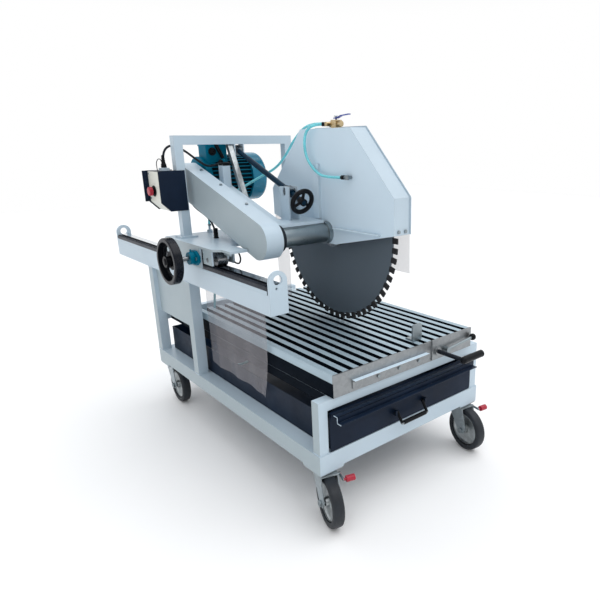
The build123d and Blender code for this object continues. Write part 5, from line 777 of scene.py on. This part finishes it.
class BLOCKSAW_OT_motor_details(bpy.types.Operator):
    """Terminal box lid with screws, cable gland, blanking plug and sleeve on the motor"""
    bl_idname = "blocksaw.motor_details"
    bl_label = "Motor details"

    def execute(self, context):
        top = top_of("motor", -0.24, -0.12, 0.37, 0.46)
        lid_top = top + 0.005
        lid = slab("terminal_lid", (-0.2395, 0.3705, top - 0.004), (-0.1285, 0.4635, lid_top), 0.0025)
        settle(lid, "teal_paint", "head")
        spots = [(x, y, lid_top) for x in (-0.2305, -0.1375) for y in (0.3795, 0.4545)]
        screws("lid_screws", 0.0048, spots, (0, 0, 1), "head")
        end = Vector(MOTOR_CABLE[-1])
        way = (Vector(MOTOR_CABLE[-2]) - end).normalized()
        cable_gland("motor_gland", end - way * 0.014, way, "head")
        profile = [(0.0, 0.019), (0.004, 0.019), (0.006, 0.018), (0.006, 0.0145), (0.011, 0.0135), (0.012, 0.0120),
                   (0.012, 0.0065), (0.009, 0.006)]
        fitted("terminal_plug", profile, (-0.209, 0.372, 1.343), (0, -1, 0), "black_plastic", "head")
        top_end, low_end = Vector((-0.190, 0.3705, 1.380)), Vector((-0.160, 0.3605, 1.310))
        profile = [(0.0, 0.0050), (0.001, 0.0078), (0.006, 0.0090), (0.050, 0.0090), (0.052, 0.0082), (0.056, 0.0082),
                   (0.058, 0.0088), (0.074, 0.0078), (0.077, 0.0050)]
        fitted("motor_sleeve", profile, top_end, low_end - top_end, "black_plastic", "head")
        return {"FINISHED"}


def weld_loop(name, xs, ys, z, depth):
    """A bead round a square post at one height."""
    line = bpy.data.curves.new(name, "CURVE")
    line.dimensions = "3D"
    run = line.splines.new("POLY")
    run.points.add(3)
    for point, (x, y) in zip(run.points, ((xs[0], ys[0]), (xs[1], ys[0]), (xs[1], ys[1]), (xs[0], ys[1]))):
        point.co = (x, y, z, 1.0)
    run.use_cyclic_u = True
    line.bevel_depth = depth
    line.bevel_resolution = 2
    bead = bpy.data.objects.new(name, line)
    bpy.context.scene.collection.objects.link(bead)
    take(bead)
    bpy.ops.object.convert(target="MESH")
    return bpy.context.object


class BLOCKSAW_OT_weld_beads(bpy.types.Operator):
    """Weld beads round the feet and heads of the posts"""
    bl_idname = "blocksaw.weld_beads"
    bl_label = "Weld beads"

    def execute(self, context):
        depth = context.scene.block_saw_sizes.bead
        foot, head = 0.295, 0.762
        posts = (("weld_post_middle", (-0.45, -0.40), (0.24, 0.29), (foot, head)),
                 ("weld_post_rear", (-0.45, -0.40), (0.70, 0.75), (foot, head)),
                 ("weld_post_front_left", (-0.445, -0.405), (-0.745, -0.705), (foot,)),
                 ("weld_post_front_right", (0.405, 0.445), (-0.745, -0.705), (foot,)),
                 ("weld_post_rear_right", (0.405, 0.445), (0.705, 0.745), (foot,)))
        for name, xs, ys, heights in posts:
            bead = joined(name, [weld_loop(name, xs, ys, z, depth) for z in heights])
            smooth(bead, 1.2)
            settle(bead, "frame_paint", "frame")
        return {"FINISHED"}


class BLOCKSAW_OT_end_caps(bpy.types.Operator):
    """Plastic cap on the stub post"""
    bl_idname = "blocksaw.end_caps"
    bl_label = "End caps"

    def execute(self, context):
        x0, x1, y0, y1 = -0.212, -0.172, 0.272, 0.312
        top = top_of("head_arm", x0 - 0.001, x1 + 0.001, y0 - 0.002, y1 + 0.002)
        cap = slab("stub_cap", (x0 - 0.001, y0 - 0.001, top - 0.012), (x1 + 0.001, y1 + 0.001, top + 0.004), 0.003)
        settle(cap, "black_plastic", "head")
        return {"FINISHED"}


class BLOCKSAW_OT_drive_details(bpy.types.Operator):
    """Ledge along the rail, seal on the arbor, cap on the travel handwheel and nut on the valve lever"""
    bl_idname = "blocksaw.drive_details"
    bl_label = "Drive details"

    def execute(self, context):
        rack_low, rack_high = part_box("toothed_rail")
        ledge = slab("rail_ledge", (rack_low.x - 0.0012, rack_low.y, rack_low.z - 0.0005),
                     (rack_low.x + 0.0005, rack_high.y, rack_low.z + 0.015), 0.0004)
        settle(ledge, "frame_paint", "frame")
        arbor = JOINTS["blade_spin"]["pos_m"]
        plate_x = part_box("arbor_housing")[0].x
        bore, rim = 0.0418, 0.0570
        profile = [(-0.0005, bore), (-0.0005, rim), (0.024, rim), (0.027, 0.0555), (0.029, 0.0515), (0.029, bore)]
        fitted("arbor_seal", profile, (plate_x, arbor[1], arbor[2]), (1, 0, 0), "black_rubber", "head", sides=56,
               ring=True)
        hub = JOINTS["travel_wheel_turn"]["pos_m"]
        shaft_x = min(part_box("pinion_shaft")[0].x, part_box("travel_handwheel")[0].x)
        profile = [(-0.0030, 0.0150), (0.0015, 0.0150), (0.0035, 0.0138), (0.0050, 0.0105), (0.0056, 0.0050)]
        fitted("wheel_cap", profile, (shaft_x, hub[1], hub[2]), (-1, 0, 0), "black_plastic", "travel_drive", sides=32)
        x, y, reach = *JOINTS["valve_turn"]["pos_m"][:2], 0.008
        top = top_of("valve_lever", x - reach, x + reach, y - reach, y + reach)
        lever_nut = stand(nut("valve_nut", 0.0085, 0.007, 0.004), (x, y, top - 0.0005), (0, 0, 1))
        settle(lever_nut, "polished", "valve_lever")
        return {"FINISHED"}


class BLOCKSAW_OT_table_details(bpy.types.Operator):
    """Painted shade strip under the table's side rail, and the folded lip along the tray's front"""
    bl_idname = "blocksaw.table_details"
    bl_label = "Table and tray details"

    def execute(self, context):
        low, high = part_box("table_top")
        # Painted shade: a dark strip where the gap under the table's side rail falls in shade
        strip = slab("table_side_shade_strip", (low.x - 0.0008, low.y + 0.008, low.z + 0.001),
                     (low.x + 0.0005, high.y - 0.004, low.z + 0.056), 0.0003)
        settle(strip, "gap_shade", "table")
        front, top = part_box("slurry_tray")[0].y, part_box("slurry_tray")[1].z
        left, right, sheet, drop = -0.3965, 0.366, 0.003, 0.026
        web, back, toe = front - 0.022, front - 0.019, front - 0.042

        def fold(name, x0, x1):
            return joined(name, [
                slab(name, (x0, web, top - sheet), (x1, front + 0.0005, top), 0.0008),
                slab(name + "_web", (x0, web, top - drop), (x1, back, top), 0.0008),
                slab(name + "_foot", (x0, toe, top - drop), (x1, back, top - drop + sheet), 0.0008)])

        settle(fold("tray_lip", left, right), "navy_paint", "tray")
        settle(fold("tray_lip_end", left - 0.0015, left + 0.0002), "frame_paint", "tray")
        return {"FINISHED"}


# Finishes of the solids that stay as they are
ONE_FINISH = {
    "frame_paint": ("rail_beam", "portal_frame", "head_arm", "guard_side_plate"),
    "galvanised": ("caster_plates",) + tuple("caster_fork_" + corner for corner in CORNERS),
    "bright_zinc": ("portal_brace",),
    "zinc": ("caster_bolts", "head_bolts", "table_bolts", "arbor_housing", "stop_plate", "hose_fittings"),
    "machined": ("guide_roller_front", "guide_roller_rear", "pinion_shaft", "arbor_shaft", "blade_clamp", "screw_nut",
                 "screw_block"),
    "navy_paint": ("slurry_tray",),
    "cream_paint": ("switch_box_cover",),
    "black_plastic": ("depth_handwheel",),
    "screw_steel": ("depth_screw",),
    "black_rubber": ("drive_belts",),
    "cast_iron": ("motor_pulley",),
    "brass": ("water_valve",),
    "blue_plastic": ("valve_lever",),
    "pump_plastic": ("water_pump",),
}


def dress(node, finish, *patches):
    """Gives a node its finish, and the faces that a patch's test picks another one."""
    solid = frame["nodes"][node]
    mesh = solid.data
    mesh.materials.clear()
    mesh.materials.append(FINISHES[finish])
    count = len(mesh.polygons)
    marks = np.zeros(count, np.int32)
    centres = np.zeros(count * 3)
    normals = np.zeros(count * 3)
    mesh.polygons.foreach_get("center", centres)
    mesh.polygons.foreach_get("normal", normals)
    x, y, z = centres.reshape(-1, 3).T
    n = normals.reshape(-1, 3).T
    for k, (other, test) in enumerate(patches, 1):
        mesh.materials.append(FINISHES[other])
        marks[test(x, y, z, n)] = k
    mesh.polygons.foreach_set("material_index", marks)
    mesh.update()


class BLOCKSAW_OT_node_finishes(bpy.types.Operator):
    """Finishes of the frame, carriage, head, table, tray and casters"""
    bl_idname = "blocksaw.node_finishes"
    bl_label = "Finishes of the solids"

    def execute(self, context):
        for finish, nodes in ONE_FINISH.items():
            for node in nodes:
                dress(node, finish)
        self.dress_frame()
        self.dress_table()
        self.dress_drive()
        self.dress_handles()
        return {"FINISHED"}

    def dress_frame(self):
        """Base frame, carriage, guards and switch box. Their left faces get painted shade, the blade guard's left face
        a painted highlight, and the table runner's outer face and a front corner of the base frame painted shade.
        """
        def left_face(x, y, z, n):
            return n[0] < -0.7

        # Painted shade on the left faces of the carriage and belt guard, and a painted highlight on the blade guard's
        # left face
        for node, finish in (("carriage", "shaded_side_paint"), ("belt_guard", "shaded_side_paint"), ("blade_guard", "highlight_paint")):
            dress(node, "frame_paint", (finish, left_face))
        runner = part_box("table_top")[0].x
        # Painted shade on the base frame's left faces, on the table runner's outer face and on the front corner under
        # the front bar
        dress("base_frame", "frame_paint", ("shaded_side_paint", left_face),
              ("gap_shade", lambda x, y, z, n: (n[0] < -0.7) & (abs(x - runner) < 0.001) & (z > 0.464) & (z < 0.506)),
              ("gap_shade", lambda x, y, z, n: (x > -0.4049) & (x < -0.35) & (z > 0.41) & (z < 0.4649) & (y < -0.69)))
        dress("switch_box_case", "navy_paint", ("frame_paint", lambda x, y, z, n: z > 1.2655))
        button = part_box("stop_button")[0].x + 0.0162
        dress("stop_button", "red_plastic", ("black_plastic", lambda x, y, z, n: x > button))

    def dress_table(self):
        """Slatted table with painted shade on the slats' sides in the gaps, and the bar along its front with a painted
        highlight on its top.
        """
        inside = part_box("table_top")[1].x - 0.001
        plate_back = -0.7452
        # Painted shade on the slats' side faces, where the gaps between the slats fall dark
        dress("table_top", "slat_zinc", ("front_zinc", lambda x, y, z, n: y < plate_back),
              ("gap_shade", lambda x, y, z, n: (abs(n[0]) > 0.7) & (abs(x) < inside) & (y > plate_back + 0.0012)))
        # Painted highlight on the shelf bar's top faces
        dress("shelf_bar", "front_zinc", ("highlight_paint", lambda x, y, z, n: n[2] > 0.7))

    def dress_drive(self):
        """Rail, blade, motor with a painted highlight on its fan cover and painted shade between its fins, bearing and
        travel handwheel.
        """
        rail_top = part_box("toothed_rail")[1].z - 0.0005
        dress("toothed_rail", "dark_steel", ("polished", lambda x, y, z, n: z > rail_top))
        arbor, core_radius = JOINTS["blade_spin"]["pos_m"], 0.3765
        dress("saw_blade", "blade_core",
              ("segment", lambda x, y, z, n: np.hypot(y - arbor[1], z - arbor[2]) > core_radius))
        axis = JOINTS["motor_spin"]["pos_m"]
        fan_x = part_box("motor")[1].x - 0.085
        fins_x, root, tip = fan_x - 0.2081, 0.097, 0.109

        # Painted shade: picks the faces in the valleys between the fins
        def between_fins(x, y, z, n):
            far = np.hypot(y - axis[1], z - axis[2])
            return (far > root) & (far < tip) & (abs(n[0]) < 0.5) & (x > fins_x) & (x < fan_x)

        # Lighter teal on the fan cover as a painted highlight, and painted shade between the fins
        dress("motor", "teal_paint", ("lit_fan_paint", lambda x, y, z, n: x > fan_x - 0.0002), ("fin_shade", between_fins))
        hub = JOINTS["travel_wheel_turn"]["pos_m"]
        bolts_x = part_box("carriage")[0].x - 0.0142
        dress("flange_bearing", "teal_paint",
              ("zinc", lambda x, y, z, n: (abs(y - hub[1]) > 0.034) & (x < bolts_x)),
              ("green_cap", lambda x, y, z, n: z > hub[2] + 0.0385))
        low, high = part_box("travel_handwheel")
        rim = (high.z - low.z) / 2 - 0.014
        dress("travel_handwheel", "black_plastic",
              ("wheel_rim", lambda x, y, z, n: np.hypot(y - hub[1], z - hub[2]) > rim))

    def dress_handles(self):
        """Lock lever, push handle, tray handle and brake pedals with their grips and caps."""
        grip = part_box("lock_lever")[1].x - 0.0285
        dress("lock_lever", "zinc", ("black_plastic", lambda x, y, z, n: x > grip))
        low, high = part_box("push_handle")
        dress("push_handle", "dark_steel", ("front_zinc", lambda x, y, z, n: y > high.y - 0.0125),
              ("black_plastic", lambda x, y, z, n: y < low.y + 0.0305),
              ("grey_cap", lambda x, y, z, n: x > high.x - 0.0005))
        bow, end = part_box("tray_handle")[0], 0.0125
        dress("tray_handle", "black_plastic",
              ("grey_cap", lambda x, y, z, n: (abs(x) > 0.0655) & (z < bow.z + end) & (y < bow.y + end)))
        for corner in ("fl", "fr"):
            joint = JOINTS["pedal_press_" + corner]
            pivot, axis = Vector(joint["pos_m"]), Vector(joint["axis"])

            def sleeve(x, y, z, n):
                return (x - pivot.x) * axis.x + (y - pivot.y) * axis.y > 0.0489

            dress("brake_pedal_" + corner, "zinc", ("red_plastic", sleeve))


# Floor, light and camera
class BLOCKSAW_OT_stage(bpy.types.Operator):
    """Pale floor, soft studio light and the camera"""
    bl_idname = "blocksaw.stage"
    bl_label = "Stage"

    def execute(self, context):
        s = context.scene.block_saw_stage
        clear_selection()
        bpy.ops.mesh.primitive_plane_add(size=24.0, location=(0.0, 0.0, 0.0))
        floor = context.object
        floor.name = "studio_floor"
        floor.data.materials.append(make_finish("floor", s.floor, 0.0, (0.6, 0.75), scale=0.8, tone=0.01, grain=60.0,
                                                depth=0.0002, edge=0.0))
        self.light(context, s)
        self.look(context, s)
        return {"FINISHED"}

    def light(self, context, s):
        """A bright room that is dimmer overhead and on one side, and three wide lights."""
        world = bpy.data.worlds.new("studio")
        world.use_nodes = True
        tree = world.node_tree
        back = tree.nodes["Background"]
        place = tree.nodes.new("ShaderNodeTexCoord").outputs["Generated"]
        split = tree.nodes.new("ShaderNodeSeparateXYZ")
        tree.links.new(place, split.inputs["Vector"])
        tones = tree.nodes.new("ShaderNodeValToRGB")
        horizon, overhead = tones.color_ramp.elements
        horizon.position, horizon.color = 0.60, (1.0, 1.0, 1.0, 1.0)
        overhead.position, overhead.color = 0.85, (0.56, 0.58, 0.61, 1.0)
        tree.links.new(spread(tree, split.outputs["Z"], -1.0, 1.0, 0.0, 1.0), tones.inputs["Fac"])
        tree.links.new(tones.outputs["Color"], back.inputs["Color"])
        side = tree.nodes.new("ShaderNodeVectorMath")
        side.operation = "DOT_PRODUCT"
        side.inputs[1].default_value = (0.80, 0.60, 0.0)
        tree.links.new(place, side.inputs[0])
        tree.links.new(spread(tree, side.outputs["Value"], -0.9, 0.1, s.sky * s.dim, s.sky), back.inputs["Strength"])
        context.scene.world = world
        context.scene.view_settings.view_transform = "Standard"
        middle = Vector((0.0, 0.0, 0.75))
        for name, energy, spot in (("key_light", s.key, (1.2, -1.0, 4.0)), ("back_light", s.fill, (0.6, 3.0, 3.4)),
                                   ("left_light", s.left, (-2.0, -1.6, 4.4))):
            bpy.ops.object.light_add(type="SUN", location=spot)
            lamp = context.object
            lamp.name = name
            lamp.data.energy = energy
            lamp.data.angle = s.softness
            lamp.rotation_euler = (middle - Vector(spot)).to_track_quat("-Z", "Y").to_euler()

    def look(self, context, s):
        """The camera, turned, tilted down and rolled."""
        view = bpy.data.cameras.new("camera")
        camera = bpy.data.objects.new("camera", view)
        context.scene.collection.objects.link(camera)
        ahead = Vector((math.sin(s.turn) * math.cos(s.tilt), math.cos(s.turn) * math.cos(s.tilt), -math.sin(s.tilt)))
        right = Vector((math.cos(s.turn), -math.sin(s.turn), 0.0))
        up = right.cross(ahead)
        rolled_right = right * math.cos(s.roll) + up * math.sin(s.roll)
        rolled_up = up * math.cos(s.roll) - right * math.sin(s.roll)
        axes = Matrix((rolled_right, rolled_up, -ahead)).transposed().to_4x4()
        camera.matrix_world = Matrix.Translation(s.eye) @ axes
        view.sensor_width = 36.0
        view.lens = s.lens
        view.shift_x, view.shift_y = s.shift
        view.clip_start, view.clip_end = 0.05, 60.0
        context.scene.camera = camera


class BLOCKSAW_PT_panel(bpy.types.Panel):
    """Lists the block saw's pieces, sizes and colours"""
    bl_idname = "BLOCKSAW_PT_panel"
    bl_label = "Stone block saw"
    bl_space_type = "VIEW_3D"
    bl_region_type = "UI"
    bl_category = "Block saw"

    def draw(self, context):
        for operator in OPERATORS:
            self.layout.operator(operator.bl_idname)
        for group in (context.scene.block_saw_sizes, context.scene.block_saw_colours, context.scene.block_saw_stage):
            column = self.layout.column()
            for key in group.__annotations__:
                column.prop(group, key)


OPERATORS = (BLOCKSAW_OT_stage, BLOCKSAW_OT_hoses, BLOCKSAW_OT_motor_cable, BLOCKSAW_OT_clear_sheets,
             BLOCKSAW_OT_caster_wheels, BLOCKSAW_OT_hose_ends, BLOCKSAW_OT_switch_box_details,
             BLOCKSAW_OT_motor_details, BLOCKSAW_OT_weld_beads, BLOCKSAW_OT_end_caps, BLOCKSAW_OT_drive_details,
             BLOCKSAW_OT_table_details, BLOCKSAW_OT_node_finishes)
CLASSES = (BlockSawSizes, BlockSawColours, BlockSawStage, *OPERATORS, BLOCKSAW_PT_panel)


def register():
    for item in CLASSES:
        bpy.utils.register_class(item)
    bpy.types.Scene.block_saw_sizes = PointerProperty(type=BlockSawSizes)
    bpy.types.Scene.block_saw_colours = PointerProperty(type=BlockSawColours)
    bpy.types.Scene.block_saw_stage = PointerProperty(type=BlockSawStage)


def unregister():
    del bpy.types.Scene.block_saw_stage
    del bpy.types.Scene.block_saw_colours
    del bpy.types.Scene.block_saw_sizes
    for item in reversed(CLASSES):
        bpy.utils.unregister_class(item)


def main():
    register()
    mix_finishes()
    bpy.ops.blocksaw.stage()
    bpy.ops.blocksaw.hoses()
    bpy.ops.blocksaw.motor_cable()
    bpy.ops.blocksaw.clear_sheets()
    bpy.ops.blocksaw.caster_wheels()
    bpy.ops.blocksaw.hose_ends()
    bpy.ops.blocksaw.switch_box_details()
    bpy.ops.blocksaw.motor_details()
    bpy.ops.blocksaw.weld_beads()
    bpy.ops.blocksaw.end_caps()
    bpy.ops.blocksaw.drive_details()
    bpy.ops.blocksaw.table_details()
    bpy.ops.blocksaw.node_finishes()


if __name__ == "__main__":
    main()
